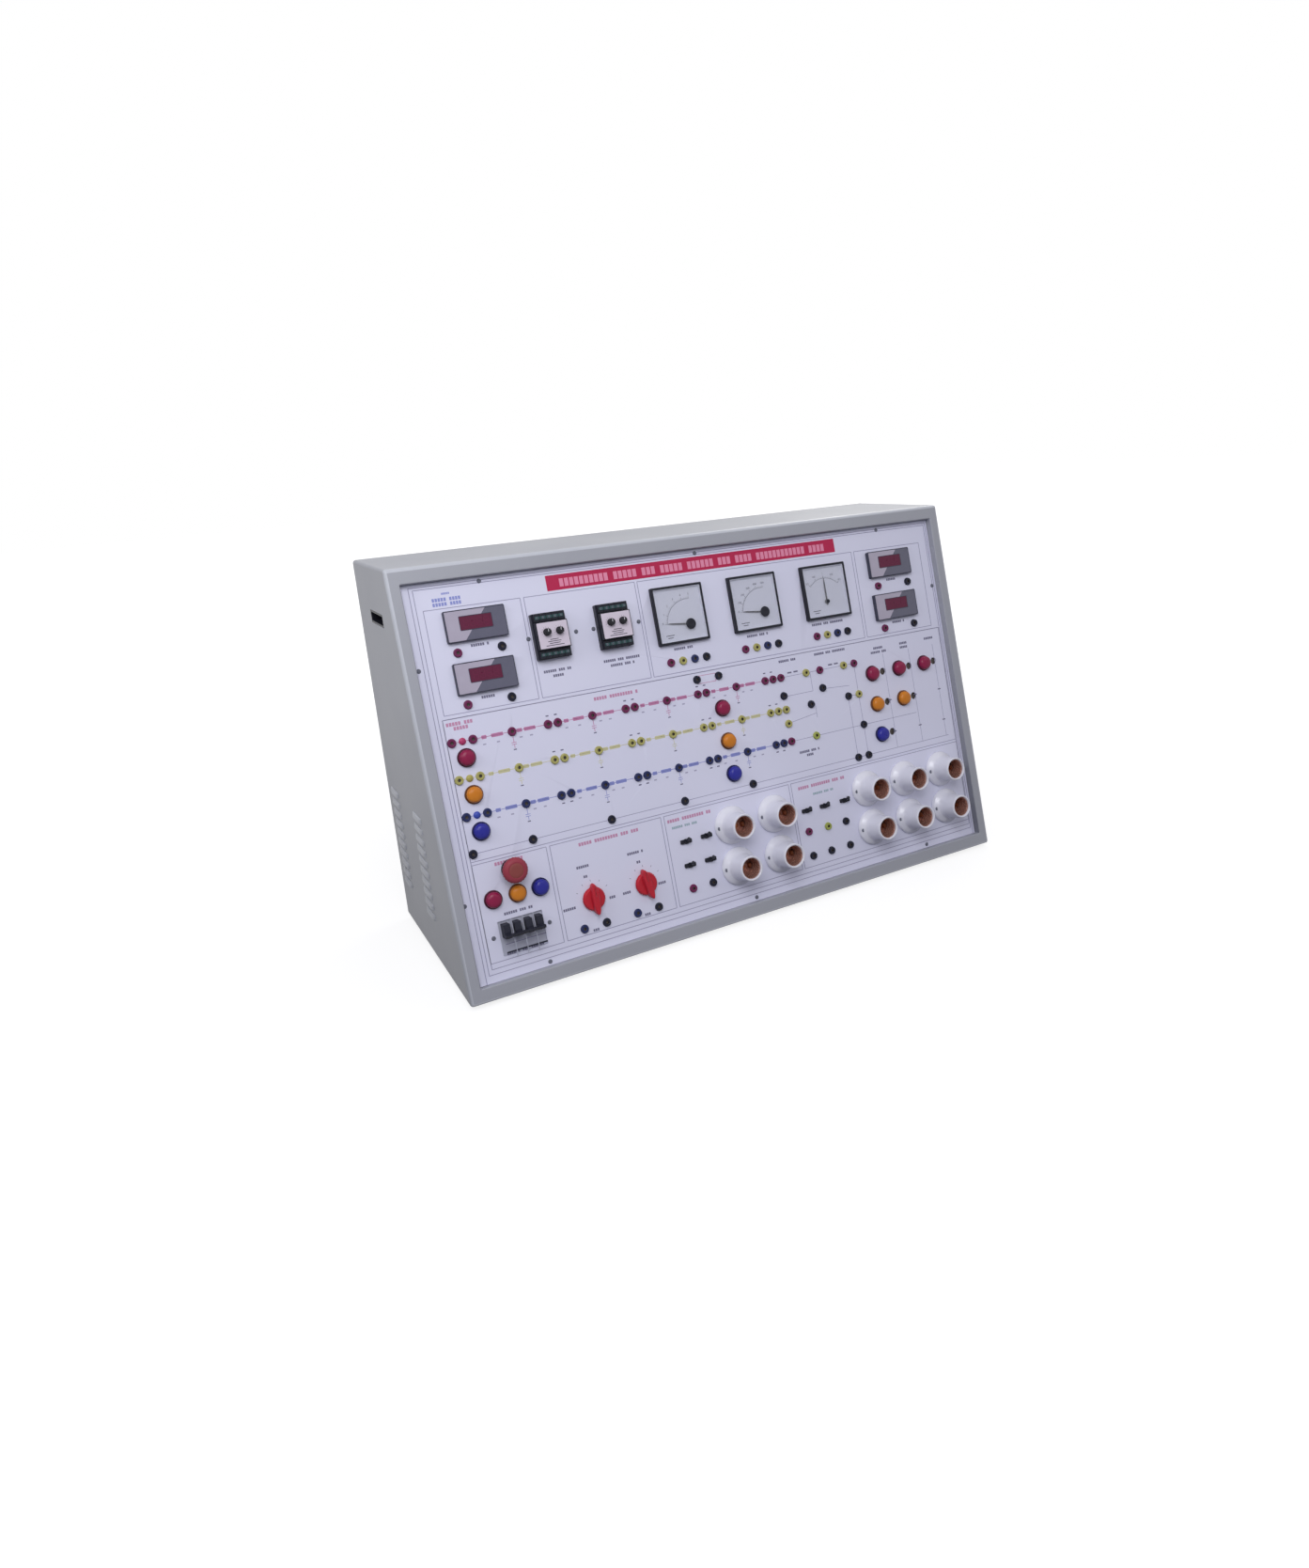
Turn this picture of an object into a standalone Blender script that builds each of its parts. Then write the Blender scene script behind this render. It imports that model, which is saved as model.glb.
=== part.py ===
"""Transmission line simulation trainer, a sloping steel bench console with a recessed panel.

Metres, +Z up, +X to the right as the user sees it, and the panel faces -Y. The origin is on
the bench, under the middle of the object. Everything on the panel is a child of the empty
panel_frame: local X runs right, local Y up the slope, local Z out of the panel, and local
Z = 0 is the front plane of the cabinet's border.
"""
import math

import bmesh
import bpy
from mathutils import Matrix, Vector

# Cabinet of folded sheet steel
WIDTH = 1.050
HEIGHT = 0.640
TOP_DEPTH = 0.220
BASE_DEPTH = 0.380
SHEET = 0.002
GAP = 0.0003
FOOT_H = 0.008
BORDER_SIDE = 0.020
BORDER_END = 0.024
RECESS = 0.012
LEDGE = 0.010
RETURN_FLANGE = 0.015
OVERRUN = 0.010

# Instrument panel, the boards behind it and the round studs that stand through it
PLATE_T = 0.003
PLATE_PLAY = 0.0005
HOLE_PLAY = 0.0004
BOARD_STANDOFF = 0.007
BOARD_T = 0.002
BOARD_MARGIN = 0.009
SOCKET_D = 0.013
SOCKET_PROUD = 0.004
PAIR_PITCH = 0.0165
LINK_LAMP_D = 0.009
STUD_SIDES = 8
ROUND_SIDES = 12
LAMP_SIDES = 10
SHARP_ANGLE = math.radians(50)

# Lamp holders, whose rims are the foremost points of the object
HOLDER_BASE_D = 0.066
HOLDER_BASE_T = 0.005
HOLDER_SHOULDER_D = 0.056
HOLDER_SHOULDER_H = 0.010
HOLDER_NECK_D = 0.046
HOLDER_NECK_H = 0.019
HOLDER_RIM_D = 0.043
HOLDER_H = 0.046
HOLDER_BORE_D = 0.035
HOLDER_BORE_DEPTH = 0.034
HOLDER_ROW_GAP = 0.006
HOLDER_LOW_V_SHARE = 0.859
HOLDER_U_SHARES = (0.4738, 0.5567, 0.7524, 0.8367, 0.9205)

LEAN = math.atan2(BASE_DEPTH - TOP_DEPTH, HEIGHT)
SLOPE = math.hypot(BASE_DEPTH - TOP_DEPTH, HEIGHT)
PLATE_FRONT = -RECESS
PLATE_BACK = PLATE_FRONT - PLATE_T
BOARD_FRONT = PLATE_BACK - BOARD_STANDOFF
BOARD_BACK = BOARD_FRONT - BOARD_T
BOARD_MIDDLE = (BOARD_FRONT + BOARD_BACK) / 2

# How far the lowest lamp holder's rim overhangs the foot of the slope
RIM_CLIMB = SLOPE * (1 - HOLDER_LOW_V_SHARE) - HOLDER_RIM_D / 2
OVERHANG = (HOLDER_H - RECESS) * math.cos(LEAN) - RIM_CLIMB * math.sin(LEAN)
FRONT_Y = -(BASE_DEPTH - OVERHANG) / 2
BACK_Y = FRONT_Y + BASE_DEPTH
BASE_Z = FOOT_H
TOP_Z = FOOT_H + HEIGHT

plate_cuts = bmesh.new()


def empty_scene():
    for item in list(bpy.data.objects):
        bpy.data.objects.remove(item, do_unlink=True)


def material(name, color, roughness, metallic=0.0):
    made = bpy.data.materials.new(name)
    made.use_nodes = True
    made.diffuse_color = (*color, 1.0)
    shader = made.node_tree.nodes["Principled BSDF"]
    shader.inputs["Base Color"].default_value = (*color, 1.0)
    shader.inputs["Roughness"].default_value = roughness
    shader.inputs["Metallic"].default_value = metallic
    return made


def spot(u_share, v_share):
    """Local X and Y of a place given as shares of the face, from its left and top edges."""
    return (u_share - 0.5) * WIDTH, (0.5 - v_share) * SLOPE


def box(bm, x_range, y_range, z_range):
    """Adds a closed block."""
    corners = [
        bm.verts.new((x, y, z)) for z in z_range for y in y_range for x in x_range
    ]
    for face in ((0, 2, 3, 1), (4, 5, 7, 6), (0, 1, 5, 4), (2, 6, 7, 3), (0, 4, 6, 2), (1, 3, 7, 5)):
        bm.faces.new([corners[i] for i in face])
    return bm


def around(centre, size):
    return centre - size / 2, centre + size / 2


def block(bm, place, width, height, z_range):
    """Adds a closed block that is centred on a place of the panel."""
    return box(bm, around(place[0], width), around(place[1], height), z_range)


def turned(bm, place, profile, sides=ROUND_SIDES):
    """Adds a closed turned body from rings of (radius, z), both ends capped flat."""
    rings = []
    for radius, z in profile:
        ring = []
        for step in range(sides):
            angle = 2 * math.pi * (step + 0.5) / sides
            x = place[0] + radius * math.cos(angle)
            y = place[1] + radius * math.sin(angle)
            ring.append(bm.verts.new((x, y, z)))
        rings.append(ring)
    for low, high in zip(rings, rings[1:]):
        for step in range(sides):
            after = (step + 1) % sides
            bm.faces.new((low[step], low[after], high[after], high[step]))
    bm.faces.new(list(reversed(rings[0])))
    bm.faces.new(rings[-1])
    return bm


def stud(bm, place, diameter, z_range, sides=STUD_SIDES):
    radius = diameter / 2
    return turned(bm, place, [(radius, z) for z in z_range], sides)


def slab(bm, rects, z_range):
    """Adds one closed plate that covers every (x0, x1, y0, y1) rectangle of the list."""
    xs = sorted({x for rect in rects for x in rect[:2]})
    ys = sorted({y for rect in rects for y in rect[2:]})
    filled = {
        (i, j)
        for i in range(len(xs) - 1)
        for j in range(len(ys) - 1)
        for x0, x1, y0, y1 in rects
        if x0 <= xs[i] and xs[i + 1] <= x1 and y0 <= ys[j] and ys[j + 1] <= y1
    }
    corners = {}

    def corner(i, j, level):
        if (i, j, level) not in corners:
            corners[i, j, level] = bm.verts.new((xs[i], ys[j], z_range[level]))
        return corners[i, j, level]

    for i, j in filled:
        ring = ((i, j), (i + 1, j), (i + 1, j + 1), (i, j + 1))
        bm.faces.new([corner(*at, 1) for at in ring])
        bm.faces.new([corner(*at, 0) for at in reversed(ring)])
        for side, (di, dj) in enumerate(((0, -1), (1, 0), (0, 1), (-1, 0))):
            if (i + di, j + dj) not in filled:
                start, end = ring[side], ring[(side + 1) % 4]
                wall = [(*start, 0), (*end, 0), (*end, 1), (*start, 1)]
                bm.faces.new([corner(*at) for at in wall])
    bmesh.ops.dissolve_limit(
        bm, angle_limit=math.radians(1), verts=bm.verts[:], edges=bm.edges[:]
    )
    return bm


def finish_mesh(name, bm):
    bmesh.ops.recalc_face_normals(bm, faces=bm.faces[:])
    mesh = bpy.data.meshes.new(name)
    bm.to_mesh(mesh)
    bm.free()
    mesh.shade_smooth()
    mesh.set_sharp_from_angle(angle=SHARP_ANGLE)
    return mesh


def solid(name, bm, finish, parent=None, at=(0, 0, 0), turn=None):
    """Makes a named object of the mesh, placed under its parent."""
    made = bpy.data.objects.new(name, finish_mesh(name, bm))
    made.data.materials.append(finish)
    bpy.context.scene.collection.objects.link(made)
    made.parent = parent
    made.location = at
    if turn:
        made.rotation_euler = turn
    return made


def combine(target, bm, operation, frame):
    """Joins a tool mesh to a solid, or cuts it out, with an exact Boolean.

    The tool is drawn in the given frame, or else in the solid's own.
    """
    tool = solid(f"{target.name}_{operation.lower()}_tool", bm, target.data.materials[0])
    if frame:
        tool.parent = frame
    else:
        tool.parent = target.parent
        tool.location = target.location
        tool.rotation_euler = target.rotation_euler
    tool.hide_render = True
    tool.display_type = "WIRE"
    change = target.modifiers.new(operation.title(), "BOOLEAN")
    change.operation = operation
    change.solver = "EXACT"
    change.object = tool
    return target


def fuse(target, bm, frame=None):
    return combine(target, bm, "UNION", frame)


def cut(target, bm, frame=None):
    return combine(target, bm, "DIFFERENCE", frame)


def pierce(place, diameter, sides=STUD_SIDES):
    """Notes a round hole in the instrument panel."""
    depth = (PLATE_BACK - OVERRUN, PLATE_FRONT + OVERRUN)
    stud(plate_cuts, place, diameter + 2 * HOLE_PLAY, depth, sides)


def pierce_square(place, width, height):
    """Notes a rectangular hole in the instrument panel."""
    depth = (PLATE_BACK - OVERRUN, PLATE_FRONT + OVERRUN)
    block(plate_cuts, place, width + 2 * HOLE_PLAY, height + 2 * HOLE_PLAY, depth)


def make_frame(name, at, turn):
    """An empty that pieces hang from."""
    frame = bpy.data.objects.new(name, None)
    bpy.context.scene.collection.objects.link(frame)
    frame.location = at
    frame.rotation_euler = turn
    return frame


def slope_point(climb, out):
    """World Y and Z of a point that is climb up the slope and out in front of it."""
    y = FRONT_Y + climb * math.sin(LEAN) - out * math.cos(LEAN)
    z = BASE_Z + climb * math.cos(LEAN) + out * math.sin(LEAN)
    return y, z


def prism_along_x(bm, x_range, outline):
    """Adds a closed prism whose (y, z) outline runs across the object."""
    ends = [[bm.verts.new((x, y, z)) for y, z in outline] for x in x_range]
    bm.faces.new(ends[0])
    bm.faces.new(list(reversed(ends[1])))
    for i, first in enumerate(outline):
        after = (i + 1) % len(outline)
        bm.faces.new((ends[0][i], ends[1][i], ends[1][after], ends[0][after]))
    return bm


# Cabinet

LIP_DEPTH = RECESS + PLATE_T + GAP + SHEET
LEDGE_FRONT = -(LIP_DEPTH - SHEET)

GRIP_L = 0.084
GRIP_H = 0.020
GRIP_WALL = 0.003
GRIP_DEPTH = 0.024
GRIP_RIM = 0.004
GRIP_BACK_SHARE = 0.334
GRIP_Z_SHARE = 0.873

LOUVRE_L = 0.050
LOUVRE_H = 0.004
LOUVRE_PITCH = 0.0185
LOUVRE_ROWS = 10
LOUVRE_LOW_Z = 0.082
LOUVRE_BACK_SHARES = (0.137, 0.526)

VENT_L = 0.090
VENT_ROWS = 8
VENT_X_SHARE = 0.30
VENT_Z_SHARE = 0.62
GLAND_D = 0.028
GLAND_BORE_D = 0.014
GLAND_Z_SHARE = 0.16
GLAND_X_SHARE = 0.40
COVER_PLAY = 0.0006


def cheek_outline():
    """The four corners of a cheek, as local Y and Z of the panel frame."""
    low, high = -SLOPE / 2, SLOPE / 2
    back_low = (low + BASE_DEPTH * math.sin(LEAN), -BASE_DEPTH * math.cos(LEAN))
    back_high = (high + TOP_DEPTH * math.sin(LEAN), -TOP_DEPTH * math.cos(LEAN))
    return [(low, 0), back_low, back_high, (high, 0)]


def side_panel(name, hand, finish, panel, bench):
    """One cheek of the cabinet with its folded front border, panel ledge and back flange.

    hand is -1 for the left cheek and 1 for the right one.
    """
    outer = hand * WIDTH / 2

    def across(near, far):
        return sorted((outer - hand * near, outer - hand * far))

    cheek = prism_along_x(bmesh.new(), across(0, SHEET), cheek_outline())
    made = solid(name, cheek, finish, panel)
    flange_back = BACK_Y - SHEET - GAP
    flange_y = (flange_back - SHEET, flange_back)
    flange_z = (BASE_Z + RETURN_FLANGE + GAP, TOP_Z - RETURN_FLANGE - GAP)
    fuse(made, box(bmesh.new(), across(SHEET / 2, RETURN_FLANGE), flange_y, flange_z), bench)

    reach = SLOPE / 2 - BORDER_END - GAP
    run = (-reach, reach)
    fuse(made, box(bmesh.new(), across(SHEET / 2, BORDER_SIDE), run, (-SHEET, 0)))
    lip_z = (-LIP_DEPTH, -SHEET / 2)
    fuse(made, box(bmesh.new(), across(BORDER_SIDE - SHEET, BORDER_SIDE), run, lip_z))
    ledge_x = across(BORDER_SIDE - SHEET / 2, BORDER_SIDE + LEDGE)
    fuse(made, box(bmesh.new(), ledge_x, run, (-LIP_DEPTH, LEDGE_FRONT)))

    slots = bmesh.new()
    wall = across(-OVERRUN, SHEET + OVERRUN)
    for back_share in LOUVRE_BACK_SHARES:
        y = BACK_Y - back_share * BASE_DEPTH
        for row in range(LOUVRE_ROWS):
            z = BASE_Z + LOUVRE_LOW_Z + row * LOUVRE_PITCH
            box(slots, wall, around(y, LOUVRE_L), around(z, LOUVRE_H))
    grip_y = BACK_Y - GRIP_BACK_SHARE * BASE_DEPTH
    grip_z = BASE_Z + GRIP_Z_SHARE * HEIGHT
    box(slots, wall, around(grip_y, GRIP_L + 2 * GAP), around(grip_z, GRIP_H + 2 * GAP))
    return cut(made, slots, bench)


def side_grip(name, hand, finish):
    """A moulded finger cup that snaps into the cheek, with a rim behind the sheet."""
    outer = hand * WIDTH / 2
    y = BACK_Y - GRIP_BACK_SHARE * BASE_DEPTH
    z = BASE_Z + GRIP_Z_SHARE * HEIGHT
    cup = box(
        bmesh.new(),
        sorted((outer, outer - hand * GRIP_DEPTH)),
        around(y, GRIP_L),
        around(z, GRIP_H),
    )
    made = solid(name, cup, finish)
    rim_front = outer - hand * (SHEET + GAP)
    rim = box(
        bmesh.new(),
        sorted((rim_front, rim_front - hand * GRIP_WALL)),
        around(y, GRIP_L + 2 * GRIP_RIM),
        around(z, GRIP_H + 2 * GRIP_RIM),
    )
    fuse(made, rim)
    hollow = box(
        bmesh.new(),
        sorted((outer + hand * OVERRUN, outer - hand * (GRIP_DEPTH - GRIP_WALL))),
        around(y, GRIP_L - 2 * GRIP_WALL),
        around(z, GRIP_H - 2 * GRIP_WALL),
    )
    return cut(made, hollow)


def folded_panel(name, outline, finish, ledge_y, panel):
    """A folded sheet that spans the cheeks, with the ends of its panel ledge notched."""
    half = WIDTH / 2 - SHEET - GAP
    made = solid(name, prism_along_x(bmesh.new(), (-half, half), outline), finish)
    notches = bmesh.new()
    inner = WIDTH / 2 - BORDER_SIDE - LEDGE - GAP
    for hand in (-1, 1):
        ends = sorted((hand * inner, hand * WIDTH))
        box(notches, ends, ledge_y, (-LIP_DEPTH - OVERRUN, LEDGE_FRONT + GAP))
    return cut(made, notches, panel)


def top_panel(finish, panel):
    """The top sheet, folded down into the upper border and the ledge behind the panel."""
    edge = SLOPE
    lip = edge - BORDER_END
    flange_y = BACK_Y - SHEET - GAP
    front_in = slope_point(edge - SHEET, -SHEET)
    outline = [
        (flange_y, TOP_Z),
        (BACK_Y - TOP_DEPTH, TOP_Z),
        slope_point(lip, 0),
        slope_point(lip, LEDGE_FRONT),
        slope_point(lip - LEDGE, LEDGE_FRONT),
        slope_point(lip - LEDGE, -LIP_DEPTH),
        slope_point(lip + SHEET, -LIP_DEPTH),
        slope_point(lip + SHEET, -SHEET),
        (front_in[0], TOP_Z - SHEET),
        (flange_y - SHEET, TOP_Z - SHEET),
        (flange_y - SHEET, TOP_Z - RETURN_FLANGE),
        (flange_y, TOP_Z - RETURN_FLANGE),
    ]
    ledge_y = (SLOPE / 2 - BORDER_END - LEDGE - OVERRUN, SLOPE / 2 - BORDER_END + SHEET + GAP)
    return folded_panel("top_panel", outline, finish, ledge_y, panel)


def base_panel(finish, panel):
    """The floor sheet, folded up into the lower border and the ledge behind the panel."""
    lip = BORDER_END
    flange_y = BACK_Y - SHEET - GAP
    front_in = slope_point(SHEET, -SHEET)
    outline = [
        (flange_y, BASE_Z),
        (flange_y, BASE_Z + RETURN_FLANGE),
        (flange_y - SHEET, BASE_Z + RETURN_FLANGE),
        (flange_y - SHEET, BASE_Z + SHEET),
        (front_in[0], BASE_Z + SHEET),
        slope_point(lip - SHEET, -SHEET),
        slope_point(lip - SHEET, -LIP_DEPTH),
        slope_point(lip + LEDGE, -LIP_DEPTH),
        slope_point(lip + LEDGE, LEDGE_FRONT),
        slope_point(lip, LEDGE_FRONT),
        slope_point(lip, 0),
        (FRONT_Y, BASE_Z),
    ]
    ledge_y = (-SLOPE / 2 + BORDER_END - SHEET - GAP, -SLOPE / 2 + BORDER_END + LEDGE + OVERRUN)
    return folded_panel("base_panel", outline, finish, ledge_y, panel)


def back_cover(finish):
    """The screwed back, with two banks of vents and a gland for the supply cable."""
    half = WIDTH / 2 - SHEET - COVER_PLAY
    cover = box(
        bmesh.new(),
        (-half, half),
        (BACK_Y - SHEET, BACK_Y),
        (BASE_Z + COVER_PLAY, TOP_Z - COVER_PLAY),
    )
    made = solid("back_cover", cover, finish)
    openings = bmesh.new()
    depth = (BACK_Y - OVERRUN, BACK_Y + OVERRUN)
    for hand in (-1, 1):
        for row in range(VENT_ROWS):
            z = BASE_Z + VENT_Z_SHARE * HEIGHT + row * LOUVRE_PITCH
            x = hand * VENT_X_SHARE * WIDTH
            box(openings, around(x, VENT_L), depth, around(z, LOUVRE_H))
    cut(made, openings)
    place = (-GLAND_X_SHARE * WIDTH, BASE_Z + GLAND_Z_SHARE * HEIGHT)
    upright = Matrix.Rotation(math.pi / 2, 4, "X")
    inside = BACK_Y - SHEET
    body = stud(bmesh.new(), place, GLAND_D, (-inside, OVERRUN - inside), ROUND_SIDES)
    bore = stud(bmesh.new(), place, GLAND_BORE_D, (-BACK_Y - SHEET, 2 * OVERRUN - inside))
    for tool, join in ((body, fuse), (bore, cut)):
        for vert in tool.verts:
            vert.co.z -= SHEET / 2
        tool.transform(upright)
        join(made, tool)
    return made


FOOT_W = 0.030
FOOT_L_SHARE = 0.80
FOOT_X_SHARE = 0.42


def foot_strip(name, hand, finish):
    """A rubber strip under the floor sheet that the console stands on."""
    x = hand * FOOT_X_SHARE * WIDTH
    middle = (FRONT_Y + BACK_Y) / 2
    length = FOOT_L_SHARE * BASE_DEPTH
    strip = box(bmesh.new(), around(x, FOOT_W), around(middle, length), (0, FOOT_H - GAP))
    return solid(name, strip, finish)


# Instruments in the upper row

METER_W = 0.096
METER_H = 0.048
METER_PROUD = 0.008
METER_BODY_PLAY = 0.002
METER_DEPTH = 0.060
DISPLAY_W = 0.050
DISPLAY_H = 0.020
DISPLAY_RISE = 0.003
DISPLAY_DEPTH = 0.0015
METER_U_SHARES = (0.1172, 0.8781)
METER_V_SHARES = (0.1432, 0.2628)
METER_SOCKET_U_SHARES = (0.1172, 0.8824)
METER_SOCKET_DROP_SHARE = 0.0591
METER_SOCKET_REACH = 0.035


def panel_meter(name, place, finish, frame):
    """A digital panel meter: a flat fascia with a sunk display and a box behind the panel."""
    width = METER_W - 2 * METER_BODY_PLAY
    height = METER_H - 2 * METER_BODY_PLAY
    front = PLATE_FRONT + METER_PROUD
    fascia = block(bmesh.new(), place, METER_W, METER_H, (PLATE_FRONT + GAP, front))
    made = solid(name, fascia, finish, frame)
    depth = (PLATE_BACK - METER_DEPTH, front - METER_PROUD / 2)
    fuse(made, block(bmesh.new(), place, width, height, depth))
    window = (place[0], place[1] + DISPLAY_RISE)
    sunk = (front - DISPLAY_DEPTH, front + OVERRUN)
    cut(made, block(bmesh.new(), window, DISPLAY_W, DISPLAY_H, sunk))
    pierce_square(place, width, height)
    return made


DIAL_SIZE = 0.096
DIAL_PROUD = 0.008
DIAL_WINDOW = 0.086
DIAL_SINK = 0.005
DIAL_CAN = 0.090
DIAL_DEPTH = 0.045
DIAL_V_SHARE = 0.1938
DIAL_U_SHARES = (0.4476, 0.5886, 0.7328)
NEEDLE_L = 0.043
NEEDLE_W = 0.0018
NEEDLE_T = 0.0008
NEEDLE_TAIL = 0.006
HUB_D = 0.009
HUB_T = 0.0025
PIVOT_ASIDE = 0.016
PIVOT_DROP = 0.0185
NEEDLE_ZERO = math.radians(173)
DIAL_SOCKET_PITCH = 0.0228
DIAL_SOCKET_U_SHARES = (0.4509, 0.5906, 0.7349)
DIAL_SOCKET_DROP_SHARE = 0.1168


def dial_meter(name, place, finish, frame):
    """A moving-needle meter: a square bezel round a sunk dial, and a can behind the panel."""
    front = PLATE_FRONT + DIAL_PROUD
    bezel = block(bmesh.new(), place, DIAL_SIZE, DIAL_SIZE, (PLATE_FRONT + GAP, front))
    made = solid(name, bezel, finish, frame)
    can = (PLATE_BACK - DIAL_DEPTH, front - DIAL_SINK - DIAL_SINK / 4)
    fuse(made, block(bmesh.new(), place, DIAL_CAN, DIAL_CAN, can))
    sunk = (front - DIAL_SINK, front + OVERRUN)
    cut(made, block(bmesh.new(), place, DIAL_WINDOW, DIAL_WINDOW, sunk))
    pierce_square(place, DIAL_CAN, DIAL_CAN)
    return made


def dial_needle(name, pivot, angle, finish, frame):
    """A needle and its hub, turning about the hub just above the dial."""
    floor = PLATE_FRONT + DIAL_PROUD - DIAL_SINK + GAP
    hub = stud(bmesh.new(), (0, 0), HUB_D, (0, HUB_T), LAMP_SIDES)
    made = solid(name, hub, finish, frame, (*pivot, floor), (0, 0, angle))
    needle = box(bmesh.new(), (-NEEDLE_TAIL, NEEDLE_L), around(0, NEEDLE_W), around(HUB_T / 2, NEEDLE_T))
    return fuse(made, needle)


RELAY_W = 0.056
RELAY_H = 0.072
RELAY_FACE_H = 0.043
RELAY_PROUD = 0.020
RELAY_STEP = 0.011
RELAY_BODY_PLAY = 0.003
RELAY_DEPTH = 0.040
RELAY_V_SHARE = 0.1962
RELAY_U_SHARES = (0.2257, 0.3297)
RELAY_KNOB_D = 0.012
RELAY_KNOB_H = 0.009
RELAY_KNOB_RISE = 0.005
RELAY_KNOB_REACH = 0.0105
RELAY_KNOB_CROWN_SHARE = 0.8


def relay(name, place, finish, frame):
    """A protection relay: a raised setting face between two lower rows of terminals."""
    base = block(bmesh.new(), place, RELAY_W, RELAY_H, (PLATE_FRONT + GAP, PLATE_FRONT + RELAY_STEP))
    made = solid(name, base, finish, frame)
    raised = (PLATE_FRONT + RELAY_STEP / 2, PLATE_FRONT + RELAY_PROUD)
    fuse(made, block(bmesh.new(), place, RELAY_W - RELAY_BODY_PLAY, RELAY_FACE_H, raised))
    width = RELAY_W - 2 * RELAY_BODY_PLAY
    height = RELAY_H - 2 * RELAY_BODY_PLAY
    body = (PLATE_BACK - RELAY_DEPTH, PLATE_FRONT + RELAY_STEP / 3)
    fuse(made, block(bmesh.new(), place, width, height, body))
    pierce_square(place, width, height)
    return made


def relay_knob(name, place, finish, frame):
    """A setting knob that turns on the relay's face."""
    radius = RELAY_KNOB_D / 2
    crown = RELAY_KNOB_CROWN_SHARE
    profile = [(radius, 0), (radius, RELAY_KNOB_H * crown), (radius * crown, RELAY_KNOB_H)]
    knob = turned(bmesh.new(), (0, 0), profile, LAMP_SIDES)
    at = (*place, PLATE_FRONT + RELAY_PROUD + GAP)
    return solid(name, knob, finish, frame, at)


# Boards that carry the sockets and pilot lamps of the line model

LAMP_D = 0.029
LAMP_BODY_D = 0.022
LAMP_BEZEL_H = 0.004
LAMP_DOME_D = 0.025
LAMP_DOME_H = 0.009
LAMP_CROWN_D = 0.019
LAMP_H = 0.0125
LAMP_SOCKET_REACH = 0.026

ROW_FIRST_V_SHARE = 0.4015
ROW_PITCH_SHARE = 0.0861
LINE_SECTIONS = 4
INPUT_U_SHARE = 0.0496
SINGLE_U_SHARE = 0.1406
PAIR_U_SHARE = 0.1972
SECTION_PITCH_SHARE = 0.1291
FAULT_U_SHARES = (0.6673, 0.6963, 0.7467, 0.7692)
NEUTRAL_INPUT_U_SHARE = 0.0486
LAMP_U_SHARES = (0.0666, 0.4957)
LAMP_DROP_SHARE = 0.0383
MIDDLE_LAMP_DROP_SHARE = 0.0472
LOAD_LAMP_U_SHARES = (0.8048, 0.8646, 0.9223)
TAP_DROP_SHARE = 0.0492
TAP_RISE_SHARE = 0.0369
CURRENT_TAP_U_SHARES = (0.4585, 0.4990)
SUPPLY_LAMP_U_SHARES = (0.0643, 0.1019, 0.1376)
SUPPLY_LAMP_V_SHARE = 0.7735
SUPPLY_BRACKET_H = 0.016
SUPPLY_BRACKET_DROP = 0.020
LINK_LAMP_PROUD = 0.003


def row_y(row):
    return spot(0, ROW_FIRST_V_SHARE + row * ROW_PITCH_SHARE)[1]


def lamp(bm, place, root):
    """Adds a pilot lamp: a shank through the panel, a bezel and a domed lens."""
    top = PLATE_FRONT + LAMP_H
    profile = [
        (LAMP_BODY_D / 2, root),
        (LAMP_BODY_D / 2, PLATE_FRONT + GAP),
        (LAMP_D / 2, PLATE_FRONT + GAP),
        (LAMP_D / 2, PLATE_FRONT + LAMP_BEZEL_H),
        (LAMP_DOME_D / 2, PLATE_FRONT + LAMP_BEZEL_H),
        (LAMP_DOME_D / 2, PLATE_FRONT + LAMP_DOME_H),
        (LAMP_CROWN_D / 2, top),
    ]
    turned(bm, place, profile, LAMP_SIDES)
    pierce(place, LAMP_BODY_D, LAMP_SIDES)


def socket(bm, place, diameter=SOCKET_D, proud=SOCKET_PROUD):
    stud(bm, place, diameter, (BOARD_MIDDLE, PLATE_FRONT + proud))
    pierce(place, diameter)


def tab(spine_y, place, reach=BOARD_MARGIN):
    """The rectangle of board that ties a place to the board's spine."""
    ys = sorted((spine_y, place[1] + math.copysign(reach, place[1] - spine_y)))
    return (place[0] - reach, place[0] + reach, ys[0], ys[1])


def board(name, rects, sockets, finish, frame, lamps=(), links=()):
    """One insulating board behind the panel with its sockets and lamps standing through it."""
    made = solid(name, slab(bmesh.new(), rects, (BOARD_BACK, BOARD_FRONT)), finish, frame)
    standing = bmesh.new()
    for place in sockets:
        socket(standing, place)
    for place in links:
        socket(standing, place, LINK_LAMP_D, LINK_LAMP_PROUD)
    for place in lamps:
        lamp(standing, place, BOARD_MIDDLE)
    return fuse(made, standing)


def line_end():
    """Local X of the last socket of each phase, one pitch past the last pair."""
    last_pair = PAIR_U_SHARE + (LINE_SECTIONS - 1) * SECTION_PITCH_SHARE
    return spot(last_pair, 0)[0] + 2 * PAIR_PITCH


def line_places(y):
    """The sockets of one phase: the input pair, then a single and a pair in each section."""
    start = spot(INPUT_U_SHARE, 0)[0]
    places = [(start, y), (start + 2 * PAIR_PITCH, y)]
    for section in range(LINE_SECTIONS):
        shift = section * SECTION_PITCH_SHARE
        pair = spot(PAIR_U_SHARE + shift, 0)[0]
        places += [(spot(SINGLE_U_SHARE + shift, 0)[0], y), (pair, y), (pair + PAIR_PITCH, y)]
    return places + [(line_end(), y)]


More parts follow.
